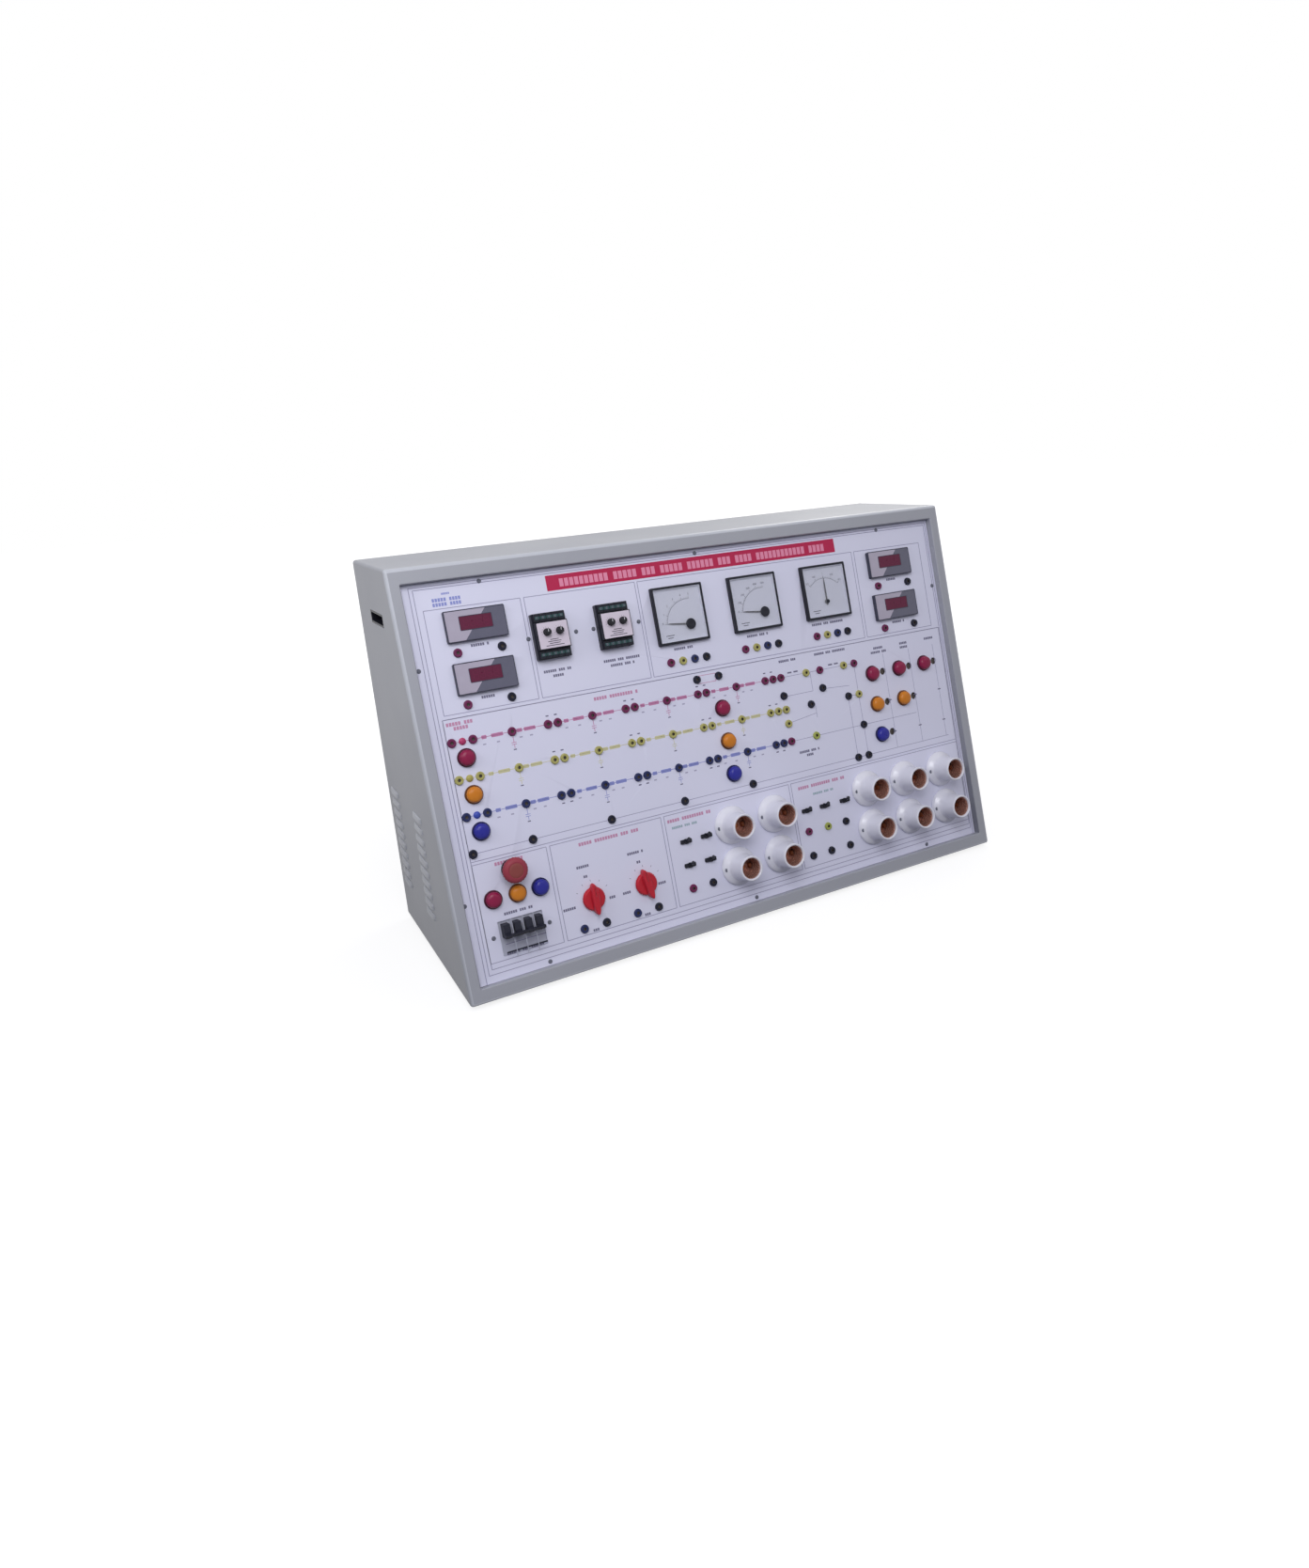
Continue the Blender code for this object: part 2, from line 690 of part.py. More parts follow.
def phase_board(name, row, finish, frame, fault_shares, load_lamps, taps):
    """The board of one phase, with the pilot lamps below its row of sockets."""
    y = row_y(row)
    sockets = line_places(y)
    link = (sockets[0][0] + PAIR_PITCH, y)
    sockets += [(spot(share, 0)[0], y) for share in fault_shares]
    drops = (LAMP_DROP_SHARE, MIDDLE_LAMP_DROP_SHARE)
    lamps = [(spot(u, 0)[0], y - drop * SLOPE) for u, drop in zip(LAMP_U_SHARES, drops)]
    load_y = y - LAMP_DROP_SHARE * SLOPE
    loads = [(spot(share, 0)[0], load_y) for share in LOAD_LAMP_U_SHARES[:load_lamps]]
    outlets = [(x + LAMP_SOCKET_REACH, low) for x, low in loads]
    reach = LAMP_BODY_D / 2
    edges = [place[0] for place in sockets]
    rects = [(min(edges) - BOARD_MARGIN, max(edges) + BOARD_MARGIN, y - BOARD_MARGIN, y + BOARD_MARGIN)]
    rects += [tab(y, place, reach) for place in lamps]
    rects += [tab(y, place) for place in taps]
    low = load_y - BOARD_MARGIN
    right = outlets[-1][0] + BOARD_MARGIN
    rects.append((rects[0][1] - BOARD_MARGIN, right, low, y))
    return board(name, rects, sockets + outlets + taps, finish, frame, lamps + loads, [link])


def neutral_board(finish, frame):
    """The board of the neutral row, along the foot of the line model."""
    y = row_y(3)
    shares = [NEUTRAL_INPUT_U_SHARE]
    shares += [SINGLE_U_SHARE + section * SECTION_PITCH_SHARE for section in range(LINE_SECTIONS)]
    shares += FAULT_U_SHARES[2:]
    places = [(spot(share, 0)[0], y) for share in shares]
    ends = (places[0][0] - BOARD_MARGIN, places[-1][0] + BOARD_MARGIN)
    rects = [(*ends, y - BOARD_MARGIN, y + BOARD_MARGIN)]
    return board("socket_board_neutral", rects, places, finish, frame)


def instrument_board(finish, frame):
    """The board under the upper row, with arms up to the upper meters' sockets."""
    places = []
    rects = []
    dial_x = [spot(u, 0)[0] for u in DIAL_SOCKET_U_SHARES]
    dial_y = spot(0, DIAL_V_SHARE + DIAL_SOCKET_DROP_SHARE)[1]
    for x in dial_x:
        places += [(x + (step - 1.5) * DIAL_SOCKET_PITCH, dial_y) for step in range(4)]
    spine_x = []
    high, low = (spot(0, share + METER_SOCKET_DROP_SHARE)[1] for share in METER_V_SHARES)
    for share, meter_share, hand in zip(METER_SOCKET_U_SHARES, METER_U_SHARES, (1, -1)):
        x = spot(share, 0)[0]
        pair = (x - METER_SOCKET_REACH, x + METER_SOCKET_REACH)
        places += [(at, y) for at in pair for y in (low, high)]
        post = spot(meter_share, 0)[0] + hand * (METER_W / 2 + BOARD_MARGIN)
        spine_x.append(x - hand * (METER_SOCKET_REACH + BOARD_MARGIN))
        posts = around(post, BOARD_MARGIN)
        arm = (min(*posts, pair[0] - BOARD_MARGIN), max(*posts, pair[1] + BOARD_MARGIN))
        rects.append((*posts, low, high + BOARD_MARGIN))
        rects.append((*arm, high - BOARD_MARGIN, high + BOARD_MARGIN))
    rects.append((min(spine_x), max(spine_x), low - BOARD_MARGIN, low + BOARD_MARGIN))
    rects.append((dial_x[0] - METER_SOCKET_REACH - BOARD_MARGIN, dial_x[-1] + METER_SOCKET_REACH
                  + BOARD_MARGIN, low, dial_y + BOARD_MARGIN))
    return board("instrument_socket_board", rects, places, finish, frame)


def supply_lamps(finish, frame):
    """The three supply lamps on one bracket behind the panel."""
    places = [spot(u, SUPPLY_LAMP_V_SHARE) for u in SUPPLY_LAMP_U_SHARES]
    back = PLATE_BACK - SUPPLY_BRACKET_DROP
    y_range = around(places[0][1], SUPPLY_BRACKET_H)
    x_range = (places[0][0] - LAMP_BODY_D / 2, places[-1][0] + LAMP_BODY_D / 2)
    bracket = box(bmesh.new(), x_range, y_range, (back - BOARD_T, back))
    made = solid("supply_lamps", bracket, finish, frame)
    lenses = bmesh.new()
    for place in places:
        lamp(lenses, place, back - BOARD_T / 2)
    return fuse(made, lenses)


# Controls along the foot of the panel

BREAKER_W = 0.072
BREAKER_NOSE_H = 0.054
BREAKER_BODY_H = 0.080
BREAKER_PROUD = 0.012
BREAKER_DEPTH = 0.048
BREAKER_PLACE_SHARES = (0.0985, 0.8693)
HANDLE_SLOT_W = 0.066
HANDLE_SLOT_H = 0.022
HANDLE_SLOT_DEPTH = 0.013
HANDLE_RISE = 0.0125
HANDLE_SINK = 0.005
HANDLE_HUB_D = 0.013
HANDLE_W = HANDLE_SLOT_W - 2 * GAP
HANDLE_POLES = 4
HANDLE_POLE_PITCH = 0.0178
HANDLE_LEVER_W = 0.009
HANDLE_LEVER_T = 0.004
HANDLE_REACH = 0.017
HANDLE_TIE_H = 0.005
HANDLE_TIE_T = 0.006
HANDLE_TILT = math.radians(30)


def breaker_body(finish, frame):
    """The four-pole breaker: its nose shows through the panel, its body sits behind."""
    place = spot(*BREAKER_PLACE_SHARES)
    front = PLATE_FRONT + BREAKER_PROUD
    nose = block(bmesh.new(), place, BREAKER_W, BREAKER_NOSE_H, (PLATE_BACK - BREAKER_DEPTH / 2, front))
    made = solid("breaker_body", nose, finish, frame)
    rear = (PLATE_BACK - BREAKER_DEPTH, PLATE_BACK - GAP)
    rear_w = BREAKER_W + 2 * HOLE_PLAY
    fuse(made, block(bmesh.new(), place, rear_w, BREAKER_BODY_H, rear))
    slot = (front - HANDLE_SLOT_DEPTH, front + OVERRUN)
    slot_place = (place[0], place[1] + HANDLE_RISE)
    cut(made, block(bmesh.new(), slot_place, HANDLE_SLOT_W, HANDLE_SLOT_H, slot))
    pierce_square(place, BREAKER_W, BREAKER_NOSE_H)
    return made


def breaker_handle(finish, frame):
    """Four levers on one hub, tied by a bar near their tips, thrown down at rest."""
    place = spot(*BREAKER_PLACE_SHARES)
    hub = stud(bmesh.new(), (0, 0), HANDLE_HUB_D, around(0, HANDLE_W), ROUND_SIDES)
    hub.transform(Matrix.Rotation(math.pi / 2, 4, "Y"))
    depth = PLATE_FRONT + BREAKER_PROUD - HANDLE_SINK
    at = (place[0], place[1] + HANDLE_RISE, depth)
    made = solid("breaker_handle", hub, finish, frame, at, (HANDLE_TILT, 0, 0))
    levers = bmesh.new()
    for pole in range(HANDLE_POLES):
        x = (pole - (HANDLE_POLES - 1) / 2) * HANDLE_POLE_PITCH
        box(levers, around(x, HANDLE_LEVER_W), around(0, HANDLE_LEVER_T), (0, HANDLE_REACH))
    fuse(made, levers)
    tie_z = (HANDLE_REACH - HANDLE_TIE_T, HANDLE_REACH - HANDLE_TIE_T / 4)
    tie = box(bmesh.new(), around(0, HANDLE_W), around(0, HANDLE_TIE_H), tie_z)
    return fuse(made, tie)


STOP_PLACE_SHARES = (0.0986, 0.7137)
STOP_COLLAR_D = 0.030
STOP_COLLAR_H = 0.006
STOP_SHANK_D = 0.022
STOP_BLOCK_W = 0.030
STOP_BLOCK_H = 0.036
STOP_BLOCK_DEPTH = 0.042
STOP_PLUNGER_D = 0.015
STOP_PLUNGER_L = 0.034
STOP_BORE_PLAY = 0.0005
STOP_TRAVEL = 0.005
STOP_HEAD_D = 0.040
STOP_HEAD_T = 0.014
STOP_PROUD = 0.032
STOP_CROWN_SHARES = ((0.72, 0), (0.94, 0.18), (1, 0.45), (0.93, 0.75), (0.70, 0.95), (0.40, 1))


def stop_button(body_finish, plunger_finish, head_finish, frame):
    """The emergency stop: a collar and contact block, a sliding plunger and a twisting head."""
    place = spot(*STOP_PLACE_SHARES)
    head_back = PLATE_FRONT + STOP_PROUD - STOP_HEAD_T
    plunger_top = head_back - GAP
    plunger_foot = plunger_top - STOP_PLUNGER_L
    block_z = (PLATE_BACK - STOP_BLOCK_DEPTH, PLATE_BACK - GAP)
    body = block(bmesh.new(), place, STOP_BLOCK_W, STOP_BLOCK_H, block_z)
    made = solid("stop_body", body, body_finish, frame)
    collar = [
        (STOP_SHANK_D / 2, PLATE_BACK - STOP_COLLAR_H),
        (STOP_SHANK_D / 2, PLATE_FRONT + GAP),
        (STOP_COLLAR_D / 2, PLATE_FRONT + GAP),
        (STOP_COLLAR_D / 2, PLATE_FRONT + STOP_COLLAR_H),
    ]
    fuse(made, turned(bmesh.new(), place, collar))
    bore = (plunger_foot - STOP_TRAVEL - 2 * GAP, PLATE_FRONT + STOP_COLLAR_H + OVERRUN)
    bore_d = STOP_PLUNGER_D + 2 * STOP_BORE_PLAY
    cut(made, stud(bmesh.new(), place, bore_d, bore, ROUND_SIDES))
    pierce(place, STOP_SHANK_D, ROUND_SIDES)
    plunger = stud(bmesh.new(), (0, 0), STOP_PLUNGER_D, (plunger_foot, plunger_top), ROUND_SIDES)
    solid("stop_plunger", plunger, plunger_finish, frame, (*place, 0))
    radius = STOP_HEAD_D / 2
    crown = [(radius * across, STOP_HEAD_T * up) for across, up in STOP_CROWN_SHARES]
    head = turned(bmesh.new(), (0, 0), crown)
    solid("stop_head", head, head_finish, frame, (*place, head_back))


SELECTOR_U_SHARES = (0.2167, 0.3062)
SELECTOR_V_SHARE = 0.8364
SELECTOR_SOCKET_U_SHARES = (0.2119, 0.3023)
SELECTOR_SOCKET_V_SHARE = 0.9020
SELECTOR_SOCKET_REACH = 0.0195
SELECTOR_BODY = 0.044
SELECTOR_DEPTH = 0.045
SELECTOR_SHAFT_D = 0.006
SELECTOR_SHAFT_PLAY = 0.001
SELECTOR_SKIRT_D = 0.038
SELECTOR_SKIRT_T = 0.006
SELECTOR_SKIRT_TOP_D = 0.034
SELECTOR_GRIP_L = 0.052
SELECTOR_GRIP_W = 0.013
SELECTOR_GRIP_TIP = 0.008
SELECTOR_PROUD = 0.016
SELECTOR_REST_TURNS = (0.0, math.radians(-10))


def selector_board(finish, frame):
    """Two rotary switches and their four sockets on one board."""
    bodies = [spot(u, SELECTOR_V_SHARE) for u in SELECTOR_U_SHARES]
    low = spot(0, SELECTOR_SOCKET_V_SHARE)[1]
    middles = [spot(u, 0)[0] for u in SELECTOR_SOCKET_U_SHARES]
    sockets = [(x + hand * SELECTOR_SOCKET_REACH, low) for x in middles for hand in (-1, 1)]
    ends = (bodies[0][0] - SELECTOR_BODY / 2, bodies[-1][0] + SELECTOR_BODY / 2)
    rects = [(min(ends[0], sockets[0][0] - BOARD_MARGIN), max(ends[1], sockets[-1][0] + BOARD_MARGIN),
              low - BOARD_MARGIN, bodies[0][1] + SELECTOR_BODY / 2)]
    made = board("selector_board", rects, sockets, finish, frame)
    switches = bmesh.new()
    inset = SELECTOR_BODY - BOARD_T
    for place in bodies:
        block(switches, place, inset, inset, (PLATE_BACK - SELECTOR_DEPTH, PLATE_BACK - GAP))
        pierce(place, SELECTOR_SHAFT_D + 2 * SELECTOR_SHAFT_PLAY)
    return fuse(made, switches)


def selector_knob(name, place, turn, finish, frame):
    """A round skirt with a raised grip bar, on a shaft that reaches the switch."""
    skirt = PLATE_FRONT + SELECTOR_SHAFT_PLAY
    profile = [
        (SELECTOR_SHAFT_D / 2, PLATE_BACK),
        (SELECTOR_SHAFT_D / 2, skirt),
        (SELECTOR_SKIRT_D / 2, skirt),
        (SELECTOR_SKIRT_D / 2, skirt + SELECTOR_SKIRT_T / 2),
        (SELECTOR_SKIRT_TOP_D / 2, skirt + SELECTOR_SKIRT_T),
    ]
    made = solid(name, turned(bmesh.new(), (0, 0), profile), finish, frame, (*place, 0), (0, 0, turn))
    half = SELECTOR_GRIP_L / 2
    wide = SELECTOR_GRIP_W / 2
    tip = SELECTOR_GRIP_TIP / 2
    outline = [(-tip, -half), (tip, -half), (wide, 0), (tip, half), (-tip, half), (-wide, 0)]
    grip = bmesh.new()
    base, top = skirt + SELECTOR_SKIRT_T / 4, PLATE_FRONT + SELECTOR_PROUD
    ends = [[grip.verts.new((x, y, z)) for x, y in outline] for z in (base, top)]
    grip.faces.new(list(reversed(ends[0])))
    grip.faces.new(ends[1])
    for i, start in enumerate(ends[0]):
        after = (i + 1) % len(outline)
        grip.faces.new((start, ends[0][after], ends[1][after], ends[1][i]))
    return fuse(made, grip)


TOGGLE_LEFT_SHARES = ((0.3877, 0.7610), (0.4253, 0.7605), (0.3877, 0.8226), (0.4253, 0.8226))
TOGGLE_RIGHT_SHARES = ((0.6225, 0.7664), (0.6600, 0.7664), (0.7025, 0.7664))
SWITCH_SOCKET_SHARES = (
    (0.3858, 0.8821), (0.4228, 0.8821), (0.6197, 0.8232), (0.6598, 0.8232), (0.6980, 0.8232),
    (0.6206, 0.8902), (0.6589, 0.8902), (0.6990, 0.8902),
)
TOGGLE_W = 0.018
TOGGLE_H = 0.028
TOGGLE_DEPTH = 0.026
TOGGLE_BUSH_D = 0.009
TOGGLE_BUSH_H = 0.005
TOGGLE_BEZEL_W = 0.021
TOGGLE_BEZEL_H = 0.0075
TOGGLE_BEZEL_T = 0.0035
TOGGLE_BORE_D = 0.0066
TOGGLE_BALL_D = 0.0056
TOGGLE_PIVOT_SINK = 0.0025
TOGGLE_STEM_D = 0.003
TOGGLE_TIP_D = 0.0056
TOGGLE_REACH = 0.014
TOGGLE_THROW = math.radians(25)
TOGGLE_BALL_SHARES = ((0.5, -0.87), (0.95, -0.3), (0.95, 0.3))
TOGGLE_NECK_SHARE = 0.85
TOGGLE_TIP_SHARES = ((1, 0.85), (0.6, 1))


def switch_board(finish, frame):
    """Seven toggle switches and their eight sockets on one long board."""
    toggles = [spot(*shares) for shares in TOGGLE_LEFT_SHARES + TOGGLE_RIGHT_SHARES]
    sockets = [spot(*shares) for shares in SWITCH_SOCKET_SHARES]
    margin = TOGGLE_H / 2
    foot = min(y for x, y in sockets) - BOARD_MARGIN
    rects = []
    for group in (toggles[:4], toggles[4:]):
        xs = [x for x, y in group]
        top = max(y for x, y in group) + margin
        rects.append((min(xs) - margin, max(xs) + margin, foot, top))
    rects.append((rects[0][0], rects[1][1], foot, foot + 2 * BOARD_MARGIN))
    made = board("switch_board", rects, sockets, finish, frame)
    switches = bmesh.new()
    bores = bmesh.new()
    bush_top = PLATE_FRONT + TOGGLE_BUSH_H
    bore_floor = bush_top - TOGGLE_PIVOT_SINK - TOGGLE_BALL_D / 2 - GAP
    for place in toggles:
        block(switches, place, TOGGLE_W, TOGGLE_H, (PLATE_BACK - TOGGLE_DEPTH, PLATE_BACK - GAP))
        pierce(place, TOGGLE_BUSH_D)
        stud(bores, place, TOGGLE_BORE_D, (bore_floor, bush_top + OVERRUN))
    fuse(made, switches)
    bushes = bmesh.new()
    bezels = bmesh.new()
    bezel_z = (PLATE_FRONT + GAP, PLATE_FRONT + TOGGLE_BEZEL_T)
    for place in toggles:
        stud(bushes, place, TOGGLE_BUSH_D, (PLATE_BACK - TOGGLE_BUSH_H, bush_top))
        block(bezels, place, TOGGLE_BEZEL_W, TOGGLE_BEZEL_H, bezel_z)
    fuse(made, bushes)
    fuse(made, bezels)
    return cut(made, bores)


def toggle_lever(name, place, finish, frame):
    """A bat lever on a ball that rocks in the bush, tipped up at rest."""
    ball = TOGGLE_BALL_D / 2
    tip = TOGGLE_TIP_D / 2
    profile = [(ball * across, ball * up) for across, up in TOGGLE_BALL_SHARES]
    profile.append((TOGGLE_STEM_D / 2, ball * TOGGLE_NECK_SHARE))
    profile += [(tip * across, TOGGLE_REACH * up) for across, up in TOGGLE_TIP_SHARES]
    lever = turned(bmesh.new(), (0, 0), profile, STUD_SIDES)
    at = (*place, PLATE_FRONT + TOGGLE_BUSH_H - TOGGLE_PIVOT_SINK)
    return solid(name, lever, finish, frame, at, (-TOGGLE_THROW, 0, 0))


def lamp_holder(name, place, finish, frame):
    """A white batten lamp holder: a domed base, a neck and a deep open mouth."""
    def level(height):
        return PLATE_FRONT + height

    profile = [
        (HOLDER_BASE_D / 2, level(GAP)),
        (HOLDER_BASE_D / 2, level(HOLDER_BASE_T)),
        (HOLDER_SHOULDER_D / 2, level(HOLDER_SHOULDER_H)),
        (HOLDER_NECK_D / 2, level(HOLDER_NECK_H)),
        (HOLDER_RIM_D / 2, level(HOLDER_H)),
        (HOLDER_BORE_D / 2, level(HOLDER_H)),
        (HOLDER_BORE_D / 2, level(HOLDER_H - HOLDER_BORE_DEPTH)),
    ]
    return solid(name, turned(bmesh.new(), place, profile), finish, frame)


def faceplate(finish, frame):
    """The instrument panel, pierced for everything that stands through it."""
    width = WIDTH - 2 * (BORDER_SIDE + PLATE_PLAY)
    height = SLOPE - 2 * (BORDER_END + PLATE_PLAY)
    plate = block(bmesh.new(), (0, 0), width, height, (PLATE_BACK, PLATE_FRONT))
    return cut(solid("faceplate", plate, finish, frame), plate_cuts)


# Inside the cabinet

COIL_ROWS = 3
COIL_W = 0.060
COIL_D = 0.034
COIL_H = 0.050
COIL_PITCH = 0.048
CAPACITOR_D = 0.034
CAPACITOR_H = 0.070
CHASSIS_CLEAR = 0.012
CHASSIS_X_SHARE = -0.11
CHASSIS_BACK = 0.060
CHASSIS_W = COIL_ROWS * COIL_PITCH + CHASSIS_CLEAR
SECTION_W = COIL_W + CAPACITOR_D + 2 * CHASSIS_CLEAR
TRANSFORMER_X_SHARE = 0.30
CORE_W = 0.120
CORE_D = 0.050
CORE_H = 0.100
WINDING_W = 0.080
WINDING_D = 0.090
WINDING_H = 0.066
TRANSFORMER_FOOT = 0.003


def line_model_chassis(finish):
    """The line model's reactors and capacitors on their chassis, standing on the floor."""
    floor = BASE_Z + SHEET + GAP
    middle = CHASSIS_X_SHARE * WIDTH
    x_range = around(middle, LINE_SECTIONS * SECTION_W)
    y_range = (BACK_Y - CHASSIS_BACK - CHASSIS_W, BACK_Y - CHASSIS_BACK)
    plate = box(bmesh.new(), x_range, y_range, (floor, floor + SHEET))
    made = solid("line_model_chassis", plate, finish)
    parts = bmesh.new()
    root = floor + SHEET / 2
    for section in range(LINE_SECTIONS):
        left = x_range[0] + section * SECTION_W + CHASSIS_CLEAR / 2
        for row in range(COIL_ROWS):
            y = y_range[0] + CHASSIS_CLEAR / 2 + COIL_PITCH * (row + 0.5)
            box(parts, (left, left + COIL_W), around(y, COIL_D), (root, root + COIL_H))
        can_x = left + COIL_W + CHASSIS_CLEAR + CAPACITOR_D / 2
        can = (can_x, (y_range[0] + y_range[1]) / 2)
        stud(parts, can, CAPACITOR_D, (root, root + CAPACITOR_H), LAMP_SIDES)
    return fuse(made, parts)


def supply_transformer(finish):
    """The supply transformer, its core and winding on one foot plate."""
    floor = BASE_Z + SHEET + GAP
    x = TRANSFORMER_X_SHARE * WIDTH
    y = BACK_Y - CHASSIS_BACK - CHASSIS_W / 2
    foot = box(bmesh.new(), around(x, CORE_W), around(y, WINDING_D), (floor, floor + TRANSFORMER_FOOT))
    made = solid("supply_transformer", foot, finish)
    root = floor + TRANSFORMER_FOOT / 2
    core = block(bmesh.new(), (x, y), CORE_W - BOARD_MARGIN, CORE_D, (root, root + CORE_H))
    fuse(made, core)
    low = root + (CORE_H - WINDING_H) / 2
    return fuse(made, block(bmesh.new(), (x, y), WINDING_W, WINDING_D - BOARD_T, (low, low + WINDING_H)))


def make_instruments(frame):
    fascia = material("grey_fascia", (0.16, 0.16, 0.20), 0.25)
    black = material("black_moulding", (0.03, 0.03, 0.04), 0.4)
    dial = material("dial_case", (0.05, 0.06, 0.09), 0.35)
    for side, u in zip(("left", "right"), METER_U_SHARES):
        for level, v in zip(("upper", "lower"), METER_V_SHARES):
            panel_meter(f"panel_meter_{side}_{level}", spot(u, v), fascia, frame)
    turns = (NEEDLE_ZERO, NEEDLE_ZERO, math.pi / 2)
    for number, (u, turn) in enumerate(zip(DIAL_U_SHARES, turns), 1):
        place = spot(u, DIAL_V_SHARE)
        dial_meter(f"dial_meter_{number}", place, dial, frame)
        aside = PIVOT_ASIDE if turn == NEEDLE_ZERO else 0
        pivot = (place[0] + aside, place[1] - PIVOT_DROP)
        dial_needle(f"dial_needle_{number}", pivot, turn, black, frame)
    for number, u in enumerate(RELAY_U_SHARES, 1):
        place = spot(u, RELAY_V_SHARE)
        relay(f"relay_{number}", place, black, frame)
        for side, hand in (("left", -1), ("right", 1)):
            at = (place[0] + hand * RELAY_KNOB_REACH, place[1] + RELAY_KNOB_RISE)
            relay_knob(f"relay_{number}_knob_{side}", at, black, frame)


def make_line_model(frame):
    red = material("phase_red", (0.55, 0.04, 0.10), 0.35)
    yellow = material("phase_yellow", (0.75, 0.45, 0.05), 0.35)
    blue = material("phase_blue", (0.05, 0.06, 0.45), 0.35)
    neutral = material("neutral_black", (0.02, 0.02, 0.03), 0.35)
    second_x = spot(FAULT_U_SHARES[1], 0)[0]
    red_y, yellow_y = row_y(0), row_y(1)
    below = red_y - TAP_DROP_SHARE * SLOPE
    red_taps = [(line_end(), below), (second_x, below)]
    above = red_y + TAP_RISE_SHARE * SLOPE
    red_taps += [(spot(u, 0)[0], above) for u in CURRENT_TAP_U_SHARES]
    yellow_taps = [(line_end(), yellow_y - LAMP_DROP_SHARE * SLOPE)]
    outer = FAULT_U_SHARES[0:1] + FAULT_U_SHARES[2:]
    phase_board("socket_board_red", 0, red, frame, FAULT_U_SHARES, 3, red_taps)
    phase_board("socket_board_yellow", 1, yellow, frame, outer, 2, yellow_taps)
    phase_board("socket_board_blue", 2, blue, frame, FAULT_U_SHARES[0::3], 1, [])
    neutral_board(neutral, frame)
    instrument_board(neutral, frame)
    supply_lamps(red, frame)


def make_controls(frame):
    grey = material("breaker_grey", (0.42, 0.43, 0.46), 0.45)
    black = material("black_lever", (0.02, 0.02, 0.03), 0.35)
    red = material("red_knob", (0.62, 0.05, 0.07), 0.35)
    dull_red = material("stop_red", (0.42, 0.07, 0.08), 0.4)
    steel = material("plunger_steel", (0.55, 0.55, 0.56), 0.3, 1.0)
    white = material("holder_white", (0.80, 0.80, 0.82), 0.3)
    breaker_body(grey, frame)
    breaker_handle(black, frame)
    stop_button(black, steel, dull_red, frame)
    selector_board(black, frame)
    for number, (u, turn) in enumerate(zip(SELECTOR_U_SHARES, SELECTOR_REST_TURNS), 1):
        place = spot(u, SELECTOR_V_SHARE)
        selector_knob(f"selector_knob_{number}", place, -turn, red, frame)
    switch_board(black, frame)
    for number, shares in enumerate(TOGGLE_LEFT_SHARES + TOGGLE_RIGHT_SHARES, 1):
        toggle_lever(f"toggle_lever_{number}", spot(*shares), black, frame)
    low_y = spot(0, HOLDER_LOW_V_SHARE)[1]
    high_y = low_y + HOLDER_BASE_D + HOLDER_ROW_GAP
    places = [(spot(u, 0)[0], y) for y in (high_y, low_y) for u in HOLDER_U_SHARES]
    for number, place in enumerate(places, 1):
        lamp_holder(f"lamp_holder_{number:02d}", place, white, frame)


def make_cabinet(panel, bench):
    enamel = material("grey_enamel", (0.36, 0.40, 0.42), 0.45)
    rubber = material("black_rubber", (0.03, 0.03, 0.03), 0.8)
    sheet = material("panel_white", (0.68, 0.68, 0.76), 0.4)
    steel = material("plated_steel", (0.55, 0.56, 0.58), 0.4, 0.8)
    for side, hand in (("left", -1), ("right", 1)):
        side_panel(f"side_panel_{side}", hand, enamel, panel, bench)
        side_grip(f"side_grip_{side}", hand, rubber)
        foot_strip(f"foot_strip_{side}", hand, rubber)
    top_panel(enamel, panel)
    base_panel(enamel, panel)
    back_cover(enamel)
    line_model_chassis(steel)
    supply_transformer(steel)
    faceplate(sheet, panel)


def main():
    empty_scene()
    middle = (0, FRONT_Y + (BASE_DEPTH - TOP_DEPTH) / 2, BASE_Z + HEIGHT / 2)
    panel = make_frame("panel_frame", middle, (math.pi / 2 - LEAN, 0, 0))
    bench = make_frame("bench_frame", (0, 0, 0), (0, 0, 0))
    make_instruments(panel)
    make_line_model(panel)
    make_controls(panel)
    make_cabinet(panel, bench)


main()
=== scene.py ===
"""The looks of a transmission line simulation trainer, a sloping steel console with its panel.

Metres, +Z up, with the user at -Y. The pieces of the instrument panel are drawn in the panel's
own frame: X runs right, Y up the slope and Z out of it, from the middle of the cabinet's front.
"""
import math

import bmesh
import bpy
from mathutils import Matrix, Quaternion, Vector


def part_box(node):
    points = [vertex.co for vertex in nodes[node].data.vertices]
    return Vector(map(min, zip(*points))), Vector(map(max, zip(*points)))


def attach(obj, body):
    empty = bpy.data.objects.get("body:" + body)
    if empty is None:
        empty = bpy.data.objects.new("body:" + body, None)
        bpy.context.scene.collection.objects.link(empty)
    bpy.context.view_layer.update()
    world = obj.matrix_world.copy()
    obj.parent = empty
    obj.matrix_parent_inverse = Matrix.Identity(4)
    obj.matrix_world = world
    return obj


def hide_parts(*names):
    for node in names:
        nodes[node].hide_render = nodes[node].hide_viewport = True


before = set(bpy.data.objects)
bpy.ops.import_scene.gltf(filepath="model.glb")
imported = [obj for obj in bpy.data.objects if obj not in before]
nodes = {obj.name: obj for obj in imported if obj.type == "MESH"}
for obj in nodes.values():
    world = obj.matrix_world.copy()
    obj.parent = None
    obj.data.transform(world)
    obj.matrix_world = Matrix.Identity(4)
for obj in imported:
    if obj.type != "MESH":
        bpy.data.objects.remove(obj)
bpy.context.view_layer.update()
scene = bpy.context.scene
scene.view_settings.view_transform = "Standard"

